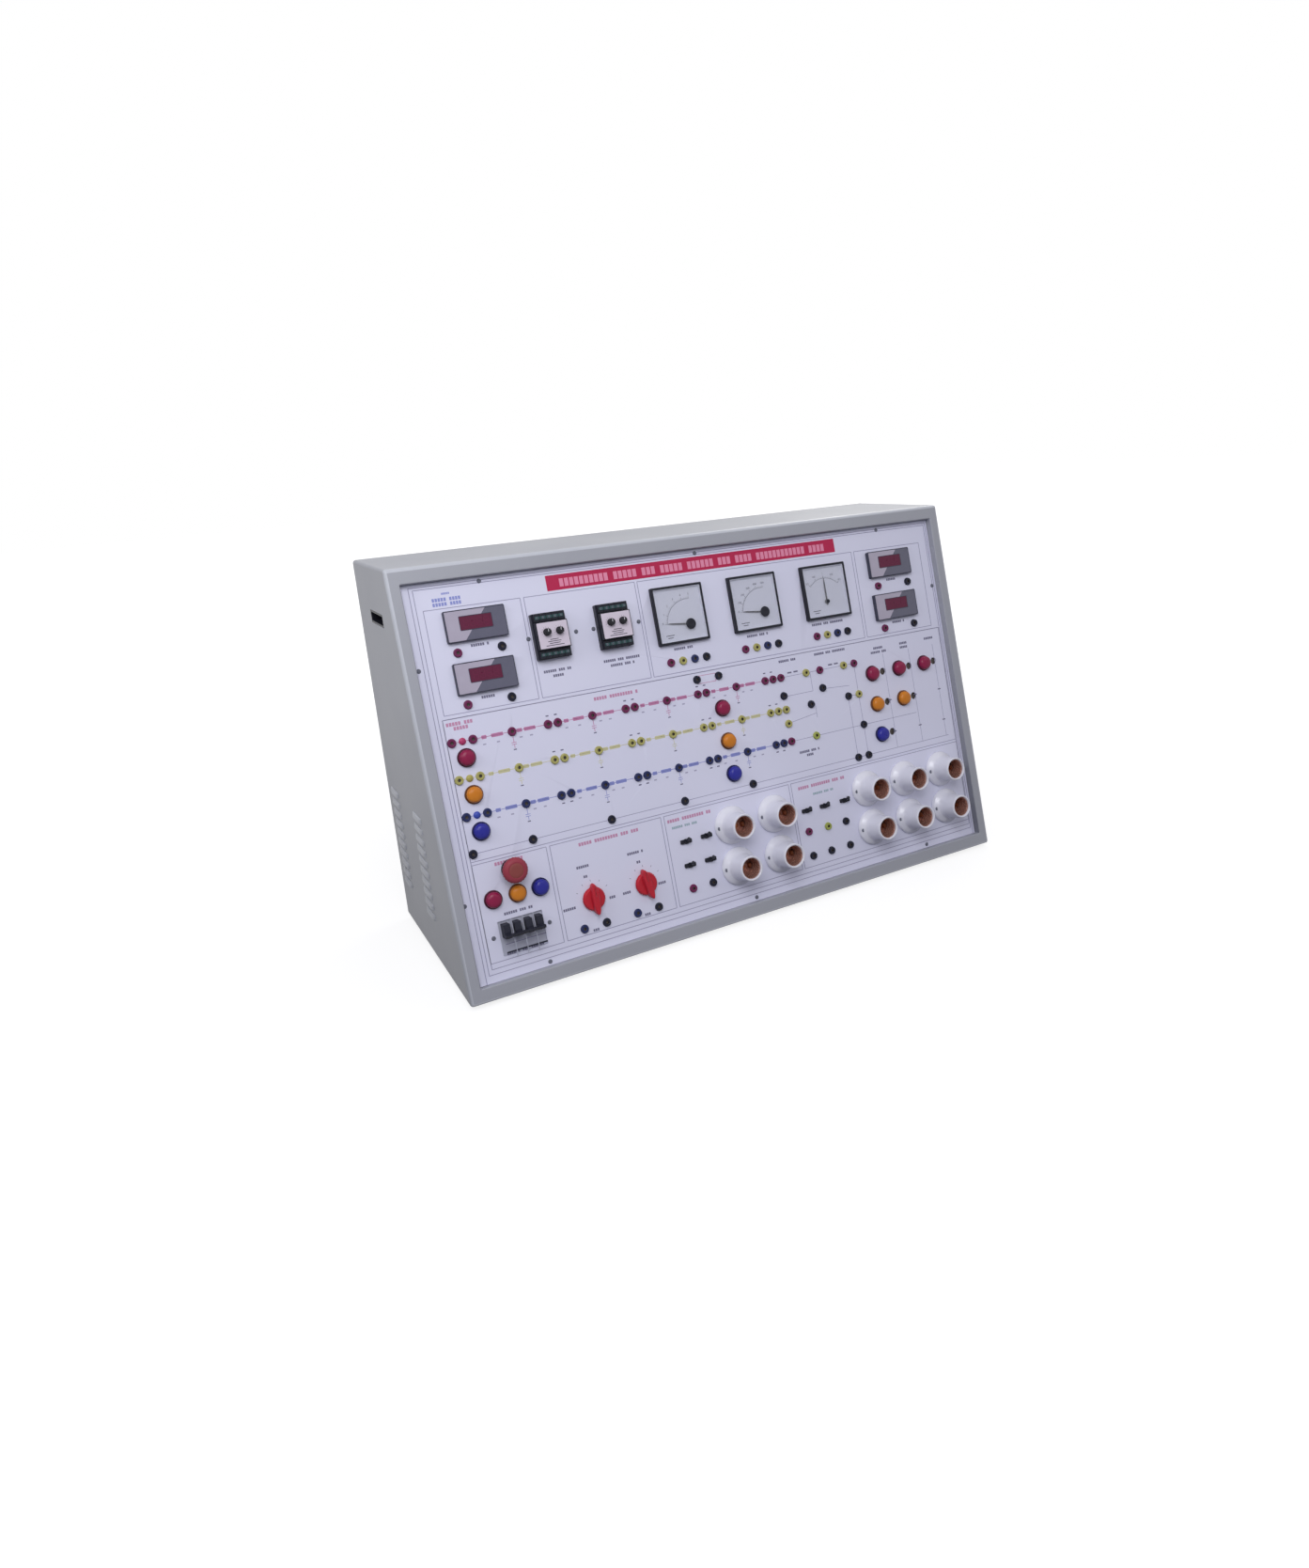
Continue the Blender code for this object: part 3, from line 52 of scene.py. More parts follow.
# Camera
# The console is seen from the user's left, a little above its top edge and close to it, so the
# left side, the top and the whole panel show. The picture is tall, with the console in its middle.
IMAGE_W = 1393
IMAGE_H = 1668
FOCAL_PX = 1033.6
CENTRE_PX = (694.1, 795.9)
SENSOR = 36.0
EYE = Vector((-0.8256, -1.4606, 0.7892))
AIM = Vector((-0.1020, 0.0, 0.2864))
ROLL = math.radians(-4.2)

lens = bpy.data.cameras.new("photo_lens")
lens.sensor_width = SENSOR
lens.lens = SENSOR * FOCAL_PX / IMAGE_H
lens.shift_x = (IMAGE_W / 2 - CENTRE_PX[0]) / IMAGE_H
lens.shift_y = (CENTRE_PX[1] - IMAGE_H / 2) / IMAGE_H
camera = bpy.data.objects.new("photo_camera", lens)
scene.collection.objects.link(camera)
camera.location = EYE
aimed = (AIM - EYE).to_track_quat("-Z", "Y")
camera.rotation_euler = (aimed @ Quaternion((0, 0, 1), ROLL)).to_euler()
scene.camera = camera

# Studio
# A pale floor and four soft boxes. The main one hangs close over the user's left shoulder, so the
# panel pales towards its upper left corner. The others fill the right, the cheek and the top.
MM = 0.001
SKY_STRENGTH = 0.36
FLOOR_SIZE = 30.0
FLOOR_WHITE_SHARE = 0.72
FLOOR_NEAR = 0.6
FLOOR_FAR = 1.8
FLOOR_GLOW = 1.15
FLOOR_BOUNCE = "#5C5C66"


def hue(code):
    """Linear colour with alpha of an sRGB hex colour."""
    parts = [int(code[i : i + 2], 16) / 255 for i in (1, 3, 5)]
    return (*(c / 12.92 if c <= 0.04045 else ((c + 0.055) / 1.055) ** 2.4 for c in parts), 1.0)


def add(tree, kind, inputs=None, **settings):
    """Adds a node. Each input is given a plain value or the output that feeds it."""
    made = tree.nodes.new(kind)
    for key, value in settings.items():
        setattr(made, key, value)
    for key, value in (inputs or {}).items():
        if isinstance(value, bpy.types.NodeSocket):
            tree.links.new(value, made.inputs[key])
        else:
            made.inputs[key].default_value = value
    return made


def worked_out(tree, operation, *values):
    """The result of one sum with plain values or outputs."""
    return add(tree, "ShaderNodeMath", dict(enumerate(values)), operation=operation).outputs[0]


def seen_itself(tree):
    """1 where a ray from the camera, or one seen in gloss or through glass, arrives."""
    ray = add(tree, "ShaderNodeLightPath").outputs
    gloss = worked_out(tree, "MAXIMUM", ray["Is Glossy Ray"], ray["Is Transmission Ray"])
    return worked_out(tree, "MAXIMUM", ray["Is Camera Ray"], gloss)


def soft_box(name, at, size, power, color):
    light = bpy.data.lights.new(name, "AREA")
    light.size = size
    light.energy = power
    light.color = hue(color)[:3]
    made = bpy.data.objects.new(name, light)
    scene.collection.objects.link(made)
    made.location = at
    made.rotation_euler = (Vector((0, 0, 0.3)) - Vector(at)).to_track_quat("-Z", "Y").to_euler()


world = bpy.data.worlds.new("studio")
world.use_nodes = True
scene.world = world
tree = world.node_tree
tree.nodes.clear()
sky = add(tree, "ShaderNodeBackground", {"Color": hue("#F4F5FF"), "Strength": SKY_STRENGTH})
white = add(tree, "ShaderNodeBackground", {"Color": hue("#FFFFFF"), "Strength": 1.0})
either = {0: seen_itself(tree), 1: sky.outputs[0], 2: white.outputs[0]}
add(tree, "ShaderNodeOutputWorld", {"Surface": add(tree, "ShaderNodeMixShader", either).outputs[0]})

plane = bmesh.new()
bmesh.ops.create_grid(plane, x_segments=1, y_segments=1, size=FLOOR_SIZE / 2)
floor_mesh = bpy.data.meshes.new("floor")
plane.to_mesh(floor_mesh)
plane.free()
floor = bpy.data.objects.new("floor", floor_mesh)
scene.collection.objects.link(floor)
paper = bpy.data.materials.new("white_paper")
paper.use_nodes = True
tree = paper.node_tree
tree.nodes.clear()
matt = add(tree, "ShaderNodeBsdfDiffuse", {"Color": hue("#EDEDF0")})
dim = add(tree, "ShaderNodeBsdfDiffuse", {"Color": hue(FLOOR_BOUNCE)})
glow = add(tree, "ShaderNodeEmission", {"Color": hue("#FFFFFF"), "Strength": FLOOR_GLOW})
away = add(tree, "ShaderNodeVectorMath", {0: add(tree, "ShaderNodeTexCoord").outputs["Object"]},
           operation="LENGTH")
whiter = add(tree, "ShaderNodeMapRange", {"Value": away.outputs["Value"], 1: FLOOR_NEAR, 2: FLOOR_FAR,
                                          3: FLOOR_WHITE_SHARE, 4: 1.0})
shown = add(tree, "ShaderNodeMixShader", {0: whiter.outputs[0], 1: matt.outputs[0], 2: glow.outputs[0]})
either = {0: seen_itself(tree), 1: dim.outputs[0], 2: shown.outputs[0]}
add(tree, "ShaderNodeOutputMaterial", {0: add(tree, "ShaderNodeMixShader", either).outputs[0]})
floor_mesh.materials.append(paper)
soft_box("key_left", (-0.8, -1.5, 1.8), 1.2, 25.0, "#FBFBFF")
soft_box("fill_right", (1.7, -2.1, 2.5), 2.2, 9.0, "#FFFBF6")
soft_box("cheek_left", (-1.6, -0.5, 1.2), 0.6, 4.0, "#FBFBFF")
soft_box("top_right", (1.0, 0.6, 1.5), 0.8, 7.0, "#FFFDF6")

# Cabinet shell
# Steel sheet, 2 mm thick, folded into cheeks, top and floor that meet in a border round a sunk
# opening. The corners are welded and ground flush before the whole shell is powder coated.
SHEET = 2 * MM
BORDER_SIDE = 20 * MM
BORDER_END = 24 * MM
RECESS = 12 * MM
PLATE_T = 3 * MM
LEDGE = 10 * MM
SLOPE_RUN = 160 * MM
FOLD_R = 5 * MM
LIP_R = 1.6 * MM
CORNER_STEPS = 4
FOLD_STEPS = 5
LOUVRE_L = 50 * MM
LOUVRE_SLOT = 4 * MM
LOUVRE_H = 9 * MM
LOUVRE_PROUD = 3 * MM
LOUVRE_PITCH = 18.5 * MM
LOUVRE_ROWS = 10
LOUVRE_LOW = 82 * MM
LOUVRE_BACK_SHARES = (0.137, 0.526)
LOUVRE_STATIONS = 12
LOUVRE_RISES = 6
GRIP_L = 84.5 * MM
GRIP_H = 20.5 * MM
SHARP = math.radians(38)
ENAMEL = "#A3A5AC"
# Painted highlight: a paler coat for the folds and the louvre hoods
HIGHLIGHT_ENAMEL = "#BFC2C9"
# Painted shade low on the cheeks: its colour, the height where it starts and its share at the floor
LOW_SHADE = "#50525C"
LOW_SHADE_TOP = 0.46
LOW_SHADE_SHARE = 0.62

cheek_low, cheek_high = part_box("side_panel_left")
back_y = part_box("back_cover")[1].y
WIDTH = -2 * cheek_low.x
HEIGHT = cheek_high.z - cheek_low.z
LEAN = math.atan2(SLOPE_RUN, HEIGHT)
SLOPE = math.hypot(SLOPE_RUN, HEIGHT)
panel_middle = (0, cheek_low.y + SLOPE_RUN / 2, cheek_low.z + HEIGHT / 2)
panel = Matrix.Translation(panel_middle) @ Matrix.Rotation(math.pi / 2 - LEAN, 4, "X")
plate_face = panel @ Matrix.Translation((0, 0, -RECESS))


def surface(name, sockets):
    """A material, its node tree and its shader, with the values that are the same all over."""
    made = bpy.data.materials.new(name)
    made.use_nodes = True
    shader = made.node_tree.nodes["Principled BSDF"]
    for socket, value in sockets.items():
        shader.inputs[socket].default_value = value
    return made, made.node_tree, shader


def blend(tree, share, first, second):
    """The colour a share of the way from one to another."""
    ends = {0: share, 6: first, 7: second}
    return add(tree, "ShaderNodeMix", ends, data_type="RGBA").outputs[2]


def mottle(tree, shader, code, other, size, roughness):
    """Colour and roughness that drift gently between two values in patches of a real size."""
    where = add(tree, "ShaderNodeTexCoord").outputs["Object"]
    patches = {"Vector": where, "Scale": 1 / size, "Detail": 3.0}
    drift = add(tree, "ShaderNodeTexNoise", patches).outputs["Fac"]
    tree.links.new(blend(tree, drift, hue(code), hue(other)), shader.inputs["Base Color"])
    spread = add(tree, "ShaderNodeMapRange", {"Value": drift, 3: roughness[0], 4: roughness[1]})
    tree.links.new(spread.outputs[0], shader.inputs["Roughness"])
    return where


def pebble(tree, shader, where, size, depth):
    """A bump of rounded pebbles of a real size and depth."""
    grain = add(tree, "ShaderNodeTexNoise", {"Vector": where, "Scale": 1 / size, "Detail": 2.0})
    relief = {"Height": grain.outputs["Fac"], "Distance": depth, "Strength": 1.0}
    tree.links.new(add(tree, "ShaderNodeBump", relief).outputs[0], shader.inputs["Normal"])


def grained(name, sockets, tones, size, roughness, grain=0, depth=0):
    """A material that drifts between two tones, with a grain if its size is given. Lengths are
    in millimetres."""
    made, tree, shader = surface(name, sockets)
    where = mottle(tree, shader, *tones, size * MM, roughness)
    if grain:
        pebble(tree, shader, where, grain * MM, depth * MM)
    return made


def powder_coat(name, code, other, roughness):
    """Polyester powder baked on steel. It melts into a satin skin with a faint orange peel,
    whose 2.5 mm cells break up the highlights along the folds. A paler copy of it is a painted
    highlight on the folds and louvre hoods. Low on the cheeks, painted shade darkens it towards
    the floor."""
    made, tree, shader = surface(name, {"IOR": 1.5, "Specular IOR Level": 0.5})
    where = mottle(tree, shader, code, other, 160 * MM, roughness)
    pebble(tree, shader, where, 2.5 * MM, 0.05 * MM)
    # Painted shade: on the cheeks the colour darkens towards the floor
    height = add(tree, "ShaderNodeSeparateXYZ", {0: where}).outputs["Z"]
    low = add(tree, "ShaderNodeMapRange", {"Value": height, 1: LOW_SHADE_TOP, 2: 0.0, 3: 0.0, 4: LOW_SHADE_SHARE})
    facing = add(tree, "ShaderNodeNewGeometry").outputs["Normal"]
    aside = add(tree, "ShaderNodeSeparateXYZ", {0: facing}).outputs["X"]
    cheek = worked_out(tree, "ABSOLUTE", aside)
    low_shade = worked_out(tree, "MULTIPLY", low.outputs[0], cheek)
    unshaded = shader.inputs["Base Color"].links[0].from_socket
    tree.links.new(blend(tree, low_shade, unshaded, hue(LOW_SHADE)), shader.inputs["Base Color"])
    return made


def rect(width, height, corner, z, middle=(0, 0)):
    """A loop round a rectangle with rounded corners."""
    loop = []
    for turn, (right, up) in enumerate(((1, 1), (-1, 1), (-1, -1), (1, -1))):
        x = middle[0] + right * (width / 2 - corner)
        y = middle[1] + up * (height / 2 - corner)
        for step in range(CORNER_STEPS + 1):
            angle = math.pi / 2 * (turn + step / CORNER_STEPS)
            loop.append((x + corner * math.cos(angle), y + corner * math.sin(angle), z))
    return loop


def loft(bm, loops, finish=0, joined=False):
    """Skins a row of closed loops. The ends are capped, or the last loop joins the first."""
    rings = [[bm.verts.new(point) for point in loop] for loop in loops]
    pairs = list(zip(rings, rings[1:]))
    if joined:
        pairs.append((rings[-1], rings[0]))
        faces = []
    else:
        faces = [bm.faces.new(rings[0]), bm.faces.new(rings[-1])]
    for near, far in pairs:
        for i in range(len(near)):
            after = (i + 1) % len(near)
            faces.append(bm.faces.new((near[i], near[after], far[after], far[i])))
    for face in faces:
        face.material_index = finish


def piece(name, bm, finishes, body="console", replaced=(), place=plate_face):
    """Makes an object of the mesh, in its place, riding on its body."""
    bmesh.ops.recalc_face_normals(bm, faces=bm.faces[:])
    mesh = bpy.data.meshes.new(name)
    bm.to_mesh(mesh)
    bm.free()
    mesh.shade_smooth()
    mesh.set_sharp_from_angle(angle=SHARP)
    for finish in finishes:
        mesh.materials.append(finish)
    made = bpy.data.objects.new(name, mesh)
    scene.collection.objects.link(made)
    made.matrix_world = place
    flat = made.modifiers.new("Flat faces stay flat", "WEIGHTED_NORMAL")
    flat.keep_sharp = True
    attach(made, body)
    if replaced:
        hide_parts(*replaced)
    return made


def border_loop(side, end, corner, z, sheared):
    """A loop round the opening, side and end in from the cabinet's outline. A sheared loop
    follows the level top and floor back from the front plane."""
    slide = -z * math.tan(LEAN) if sheared else 0
    loop = rect(WIDTH - 2 * side, SLOPE - 2 * end, corner, z, (0, slide))
    return [panel @ Vector(point) for point in loop]


def back_loop(inset):
    """A loop round the cabinet's open back."""
    middle = (0, (cheek_low.z + cheek_high.z) / 2)
    corner = max(FOLD_R - inset, LIP_R / 2)
    flat = rect(WIDTH - 2 * inset, HEIGHT - 2 * inset, corner, 0, middle)
    return [(x, back_y, z) for x, z, level in flat]


def cabinet_shell():
    lip_depth = RECESS + PLATE_T + SHEET
    ledge_front = -(lip_depth - SHEET) - 0.3 * MM
    loops = [back_loop(0)]
    for step in range(FOLD_STEPS + 1):
        angle = math.pi / 2 * step / FOLD_STEPS
        inset = FOLD_R * (1 - math.cos(angle))
        corner = max(FOLD_R - inset, LIP_R / 2)
        loops.append(border_loop(inset, inset, corner, FOLD_R * (math.sin(angle) - 1), True))
    for step in range(FOLD_STEPS + 1):
        angle = math.pi / 2 * step / FOLD_STEPS
        back = LIP_R * (1 - math.sin(angle))
        z = LIP_R * (math.cos(angle) - 1)
        loops.append(border_loop(BORDER_SIDE - back, BORDER_END - back, LIP_R + back, z, False))
    inner = (
        (0, ledge_front), (LEDGE, ledge_front), (LEDGE, ledge_front - SHEET),
        (-SHEET, ledge_front - SHEET), (-SHEET, -SHEET),
    )
    for reach, z in inner:
        corner = LIP_R + max(-reach, 0)
        loops.append(border_loop(BORDER_SIDE + reach, BORDER_END + reach, corner, z, False))
    loops.append(border_loop(SHEET, SHEET, LIP_R / 2, -SHEET, True))
    loops.append(back_loop(SHEET))
    bm = bmesh.new()
    loft(bm, loops, joined=True)
    bm.faces.ensure_lookup_table()
    around = len(loops[0])
    # The fold band takes the paler coat: a painted highlight along the rounded folds
    for face in bm.faces[around : around * (FOLD_STEPS + 1)]:
        face.material_index = 1
    hidden = ("side_panel_left", "side_panel_right", "top_panel", "base_panel")
    return piece("cabinet_shell", bm, [enamel, highlight_enamel], replaced=hidden,
                 place=Matrix.Identity(4))


def slab_x(bm, x_range, y, z, length, height):
    """Adds a plain block that crosses a cheek."""
    bmesh.ops.create_cube(bm, size=1, matrix=Matrix.Translation((sum(x_range) / 2, y, z))
                          @ Matrix.Diagonal((x_range[1] - x_range[0], length, height, 1)))


def cut_away(target, bm):
    """Cuts a tool mesh out of a piece."""
    bmesh.ops.recalc_face_normals(bm, faces=bm.faces[:])
    mesh = bpy.data.meshes.new("cutter")
    bm.to_mesh(mesh)
    bm.free()
    for finish in target.data.materials:
        mesh.materials.append(finish)
    tool = bpy.data.objects.new("cutter", mesh)
    scene.collection.objects.link(tool)
    change = target.modifiers.new("Cut", "BOOLEAN")
    change.object = tool
    change.operation = "DIFFERENCE"
    target.modifiers.move(len(target.modifiers) - 1, 0)
    bpy.context.view_layer.update()
    ready = target.evaluated_get(bpy.context.evaluated_depsgraph_get())
    made = bpy.data.meshes.new_from_object(ready)
    target.modifiers.remove(target.modifiers["Cut"])
    old = target.data
    target.data = made
    bpy.data.meshes.remove(old)
    bpy.data.objects.remove(tool)


def louvre_places(side):
    for share in LOUVRE_BACK_SHARES:
        y = back_y - share * (back_y - cheek_low.y)
        for row in range(LOUVRE_ROWS):
            yield side * WIDTH / 2, y, cheek_low.z + LOUVRE_LOW + row * LOUVRE_PITCH


def louvre_hoods(side):
    """The pressed hoods: each stands out over its slot and fades into the sheet above it."""
    bm = bmesh.new()
    for x, y, z in louvre_places(side):
        inner = x - side * SHEET / 2
        loops = []
        for station in range(LOUVRE_STATIONS + 1):
            along = math.cos(math.pi * station / LOUVRE_STATIONS)
            swell = max(1 - along**4, 0.02) ** 0.5
            reach = y + along * LOUVRE_L / 2
            loop = []
            for rise in range(LOUVRE_RISES + 1):
                angle = math.pi / 2 * rise / LOUVRE_RISES
                out = LOUVRE_PROUD * swell * math.cos(angle)
                up = LOUVRE_H * math.sin(angle) - LOUVRE_SLOT / 2
                loop.append((x + side * out, reach, z + up))
            loop.append((inner, reach, z + LOUVRE_H - LOUVRE_SLOT / 2))
            loop.append((inner, reach, z + LOUVRE_SLOT / 2))
            loop.append((x, reach, z + LOUVRE_SLOT / 2 * swell))
            loops.append(loop)
        loft(bm, loops)
    # The hoods take the paler coat: a painted highlight on their tops
    name = "louvre_hoods_left" if side < 0 else "louvre_hoods_right"
    piece(name, bm, [highlight_enamel], place=Matrix.Identity(4))


enamel = powder_coat("powder_coat_grey", ENAMEL, "#9B9DA6", (0.40, 0.48))
# A paler copy of the coat: a painted highlight on the folds and louvre hoods
highlight_enamel = powder_coat("powder_coat_painted_highlight", HIGHLIGHT_ENAMEL, "#B6B9C1", (0.34, 0.42))
shell = cabinet_shell()
cuts = bmesh.new()
grip_low, grip_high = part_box("side_grip_left")
grip_middle = (grip_low + grip_high) / 2
for side in (-1, 1):
    wall = sorted((side * (WIDTH / 2 - 2 * SHEET), side * (WIDTH / 2 + SHEET)))
    for x, y, z in louvre_places(side):
        slab_x(cuts, wall, y, z, LOUVRE_L, LOUVRE_SLOT)
    slab_x(cuts, wall, grip_middle.y, grip_middle.z, GRIP_L, GRIP_H)
    louvre_hoods(side)
cut_away(shell, cuts)
nodes["back_cover"].data.materials[0] = enamel

# Back cover, grips and feet
# The back is a flat steel sheet with vents, held by screws along its edge. Moulded linings in the
# slots of the cheeks are the grips, and two rubber strips are the feet.
COVER_SCREW_IN = 12 * MM
COVER_SCREW_LIFT = 1.8 * MM
COVER_SCREW_SHARES = (-0.48, -0.16, 0.16, 0.48)
SCREW_DOME_MM = ((3.5, 0.0), (3.43, 0.5), (2.45, 1.5))
SCREW_QUARTER_MM = ((1.47, 1.2), (1.47, 1.9), (1.176, 2.0))
SCREW_SLOT_MM = 1.1
ROUND_SIDES = 32


def circle(radius, z, middle=(0, 0), sides=ROUND_SIDES):
    """A loop round a circle."""
    angles = [2 * math.pi * step / sides for step in range(sides)]
    return [(middle[0] + radius * math.cos(a), middle[1] + radius * math.sin(a), z) for a in angles]


def eased(profile, reach, steps=3):
    """The profile with each of its inner corners turned into a short curve."""
    points = [Vector(point) for point in profile]
    curve = [profile[0]]
    for before, corner, after in zip(points, points[1:], points[2:]):
        ends = []
        for other in (before, after):
            away = other - corner
            ends.append(corner + away.normalized() * min(reach, away.length * 0.45))
        for step in range(steps + 1):
            t = step / steps
            curve.append(tuple(ends[0].lerp(corner, t).lerp(corner.lerp(ends[1], t), t)))
    return curve + [profile[-1]]


def turned(bm, profile, middle=(0, 0), finish=0, sides=ROUND_SIDES):
    """Adds a body turned from a profile of (radius, z) in millimetres, capped at both ends."""
    loft(bm, [circle(r * MM, z * MM, middle, sides) for r, z in profile], finish)


def raised(bm, steps, middle=(0, 0), finish=0):
    """Adds a body with rounded corners from (width, height, corner, z) steps in millimetres."""
    loops = [rect(w * MM, h * MM, corner * MM, z * MM, middle) for w, h, corner, z in steps]
    loft(bm, loops, finish)


def slab(bm, size, low, high, middle=(0, 0), finish=0):
    """Adds a flat block of a (width, height, corner) size between two levels in millimetres."""
    raised(bm, [(*size, low), (*size, high)], middle, finish)


def screw(bm, middle, z=0, finish=0):
    """Adds a domed screw head with a cross cut in it, drawn as four raised quarters."""
    turned(bm, [(radius, z + rise) for radius, rise in SCREW_DOME_MM], middle, finish, 20)
    aside = (SCREW_QUARTER_MM[0][0] + SCREW_SLOT_MM) / 2 * MM
    for right, up in ((1, 1), (-1, 1), (-1, -1), (1, -1)):
        spot = (middle[0] + right * aside, middle[1] + up * aside)
        raised(bm, [(side, side, 0.3, z + rise) for side, rise in SCREW_QUARTER_MM], spot, finish)


def moulded(name, code, other, roughness=(0.34, 0.46), grain=0.9, gloss=0.18):
    """Moulded plastic: an even colour with a soft sheen, from a mould with a fine spark grain."""
    sockets = {"IOR": 1.5, "Specular IOR Level": gloss}
    return grained(name, sockets, (code, other), 30, roughness, grain, 0.015)


def ease_edges(node, width):
    """Breaks the sharp edges of a CAD node with a small bevel."""
    weld = nodes[node].modifiers.new("Weld", "WELD")
    weld.merge_threshold = 0.01 * MM
    bevel = nodes[node].modifiers.new("Broken edges", "BEVEL")
    bevel.width = width
    bevel.segments = 2
    bevel.limit_method = "ANGLE"
    bevel.angle_limit = math.radians(40)


# Bright zinc on small steel parts: a bluish grey metal, scuffed by the driver
zinc = grained("zinc_plated_steel", {"Metallic": 1.0}, ("#B4B6BA", "#8E9096"), 4, (0.24, 0.42), 0.6, 0.02)
blackened = moulded("blackened_steel", "#646773", "#747783", (0.4, 0.55), 0.6)
black_abs = moulded("black_abs", "#1A1B25", "#22232D")
# Black rubber: matt, greyed by dust in its grain
rubber = grained("carbon_rubber", {"IOR": 1.52, "Specular IOR Level": 0.35}, ("#262628", "#3A3A3C"),
                 12, (0.75, 0.9), 1.2, 0.12)
ease_edges("back_cover", 0.4 * MM)
# The grips are black all over: the dark inside each recess is painted shade in their colour
for side in ("left", "right"):
    nodes[f"side_grip_{side}"].data.materials[0] = black_abs
    ease_edges(f"side_grip_{side}", 0.6 * MM)
    nodes[f"foot_strip_{side}"].data.materials[0] = rubber
    ease_edges(f"foot_strip_{side}", 1.5 * MM)

cover_low, cover_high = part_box("back_cover")
screws = bmesh.new()
for share in COVER_SCREW_SHARES:
    for z in (cover_low.z + COVER_SCREW_IN, cover_high.z - COVER_SCREW_IN):
        screw(screws, (share * WIDTH, z))
back_face = Matrix.Translation((0, back_y - COVER_SCREW_LIFT, 0))
back_face = back_face @ Matrix.Rotation(-math.pi / 2, 4, "X") @ Matrix.Diagonal((1, -1, 1, 1))
piece("back_cover_screws", screws, [zinc], place=back_face)

# Instrument panel
# A 3 mm aluminium sheet with a lavender white satin print, screwed to the ledge inside the
# border. Its drawing is thin rules, phase coloured strokes and short blocks of colour. Places on
# it are measured right and down from the cabinet's upper left corner.
PLATE_SCREWS_MM = (
    (141.7, 31.1), (520.0, 31.1), (907.8, 31.1), (25.0, 151.1), (1019.8, 148.9),
    (22.9, 509.2), (137.5, 629.1), (522.7, 629.1), (907.8, 629.1), (1024.0, 509.2),
)
BOXES_MM = (
    (49, 201, 65, 223), (207, 399, 65, 223), (404, 843, 65, 223), (849, 1003, 65, 223),
    (45, 1019, 229, 447), (45, 166, 452, 606), (172, 369, 452, 606), (375, 625, 452, 606),
    (630, 1019, 452, 606),
)
FRAMES_MM = ((33, 1025, 29.5, 636), (39, 1021, 33.5, 622.8), (45, 1019, 229.1, 614.8))
ROWS_V_MM = [(0.4015 + 0.0861 * row) * SLOPE / MM for row in range(4)]
SINGLES_U_MM = [(0.1406 + 0.1291 * section) * WIDTH / MM for section in range(4)]
PAIRS_U_MM = [(0.1972 + 0.1291 * section) * WIDTH / MM + 8.25 for section in range(4)]
FIRST_U_MM = 52
LAST_U_MM = 644
BANNER_MM = (528, 48.7, 560, 24.2)
BANNER_WORDS = (10, 5, 3, 5, 6, 3, 4, 12, 4)
LETTER_PITCH_SHARE = 0.86
LETTER_SHARE = 0.78
INK_T = 0.12
INK_SUNK = 0.05
BOX_RULE = 1.1
ROW_RULE = 0.9
THIN_RULE = 0.8
STROKES_MM = ((-45, 8), (-24, 19), (12, 9), (29, 19))
STROKE_H = 5.6
MARKS_MM = (-46, -24, 13, 30)
MARK_DROP = 11
TAP_MM = (17, 20)
LABEL_RISE = 13
TEXT_BARS_MM = (
    (124.7, 125.6, 30), (123.7, 205.2, 26), (925.9, 124.5, 26), (925.9, 204.1, 28),
    (240.4, 184.0, 46), (240.4, 192.2, 18), (352.9, 184.0, 66), (352.9, 192.2, 44),
    (469.6, 184.0, 40), (615.5, 184.0, 42), (765.7, 184.0, 70), (681.8, 402.0, 42),
    (681.8, 409.0, 14), (668.5, 237.0, 40), (761.4, 236.0, 72), (868.6, 245.5, 20),
    (868.6, 253.0, 36), (928.5, 245.5, 18), (928.5, 253.0, 18), (990.6, 245.5, 22),
    (103.5, 536.8, 46), (103.5, 597.4, 60), (221.3, 497.5, 26), (313.1, 497.5, 30),
    (185.0, 558.0, 22), (260.0, 558.0, 12), (286.0, 558.0, 16), (351.0, 558.0, 16),
    (222.9, 602.0, 12), (315.7, 602.0, 12), (221.3, 514.0, 7), (316.0, 514.0, 7),
)
PINK_BARS_MM = (
    (70, 237, 40), (71, 244, 24), (331, 240, 80), (103.5, 458.5, 46), (273, 462, 106),
    (421.8, 462.5, 84), (695, 464, 102),
)
TEAL_BARS_MM = ((410.4, 474.8, 48), (695.6, 479.6, 46))
HEADING_MM = ((43, 12, 3), (51.5, 44, 5.2), (58.5, 44, 5.2))
LOAD_RULES_U_MM = (877.2, 938.2, 997.6)
FAULT_RULES_MM = (
    ((644, 265), (808, 265)), ((644, 299), (710, 299)), ((710, 299), (710, 265)),
    ((733, 299), (790, 303)), ((644, 347), (710, 339)), ((710, 322), (710, 347)),
    ((644, 379), (934, 379)), ((784, 322), (808, 322)), ((784, 322), (784, 436)),
    ((808, 265), (808, 436)),
)


def spot_mm(u, v):
    """X and Y on the panel of a place measured right and down from the cabinet's corner."""
    return u * MM - WIDTH / 2, SLOPE / 2 - v * MM


def flat(bm, rim, low, high, finish=0):
    """Adds a flat plate from its outline and two levels, in millimetres."""
    loft(bm, [[Vector((x, y, level)) * MM for x, y in rim] for level in (low, high)], finish)


def stroke(bm, start, end, width, low, high, finish=0):
    """Adds a flat stroke from one place to another, in millimetres."""
    a, b = (Vector(place) for place in (start, end))
    along = (b - a).normalized()
    across = Vector((-along.y, along.x)) * width / 2
    flat(bm, (a + across, a - across, b - across, b + across), low, high, finish)


def rule(bm, start, end, width, finish=0):
    """Prints a straight line from one place to another."""
    a, b = (Vector(spot_mm(*place)) / MM for place in (start, end))
    stroke(bm, a, b, width, -INK_SUNK, INK_T, finish)


def bar(bm, u, v, width, height, finish=0):
    """Prints a block centred on a place."""
    size = (width, height, min(width, height) * 0.2)
    slab(bm, size, -INK_SUNK, INK_T, spot_mm(u, v), finish)


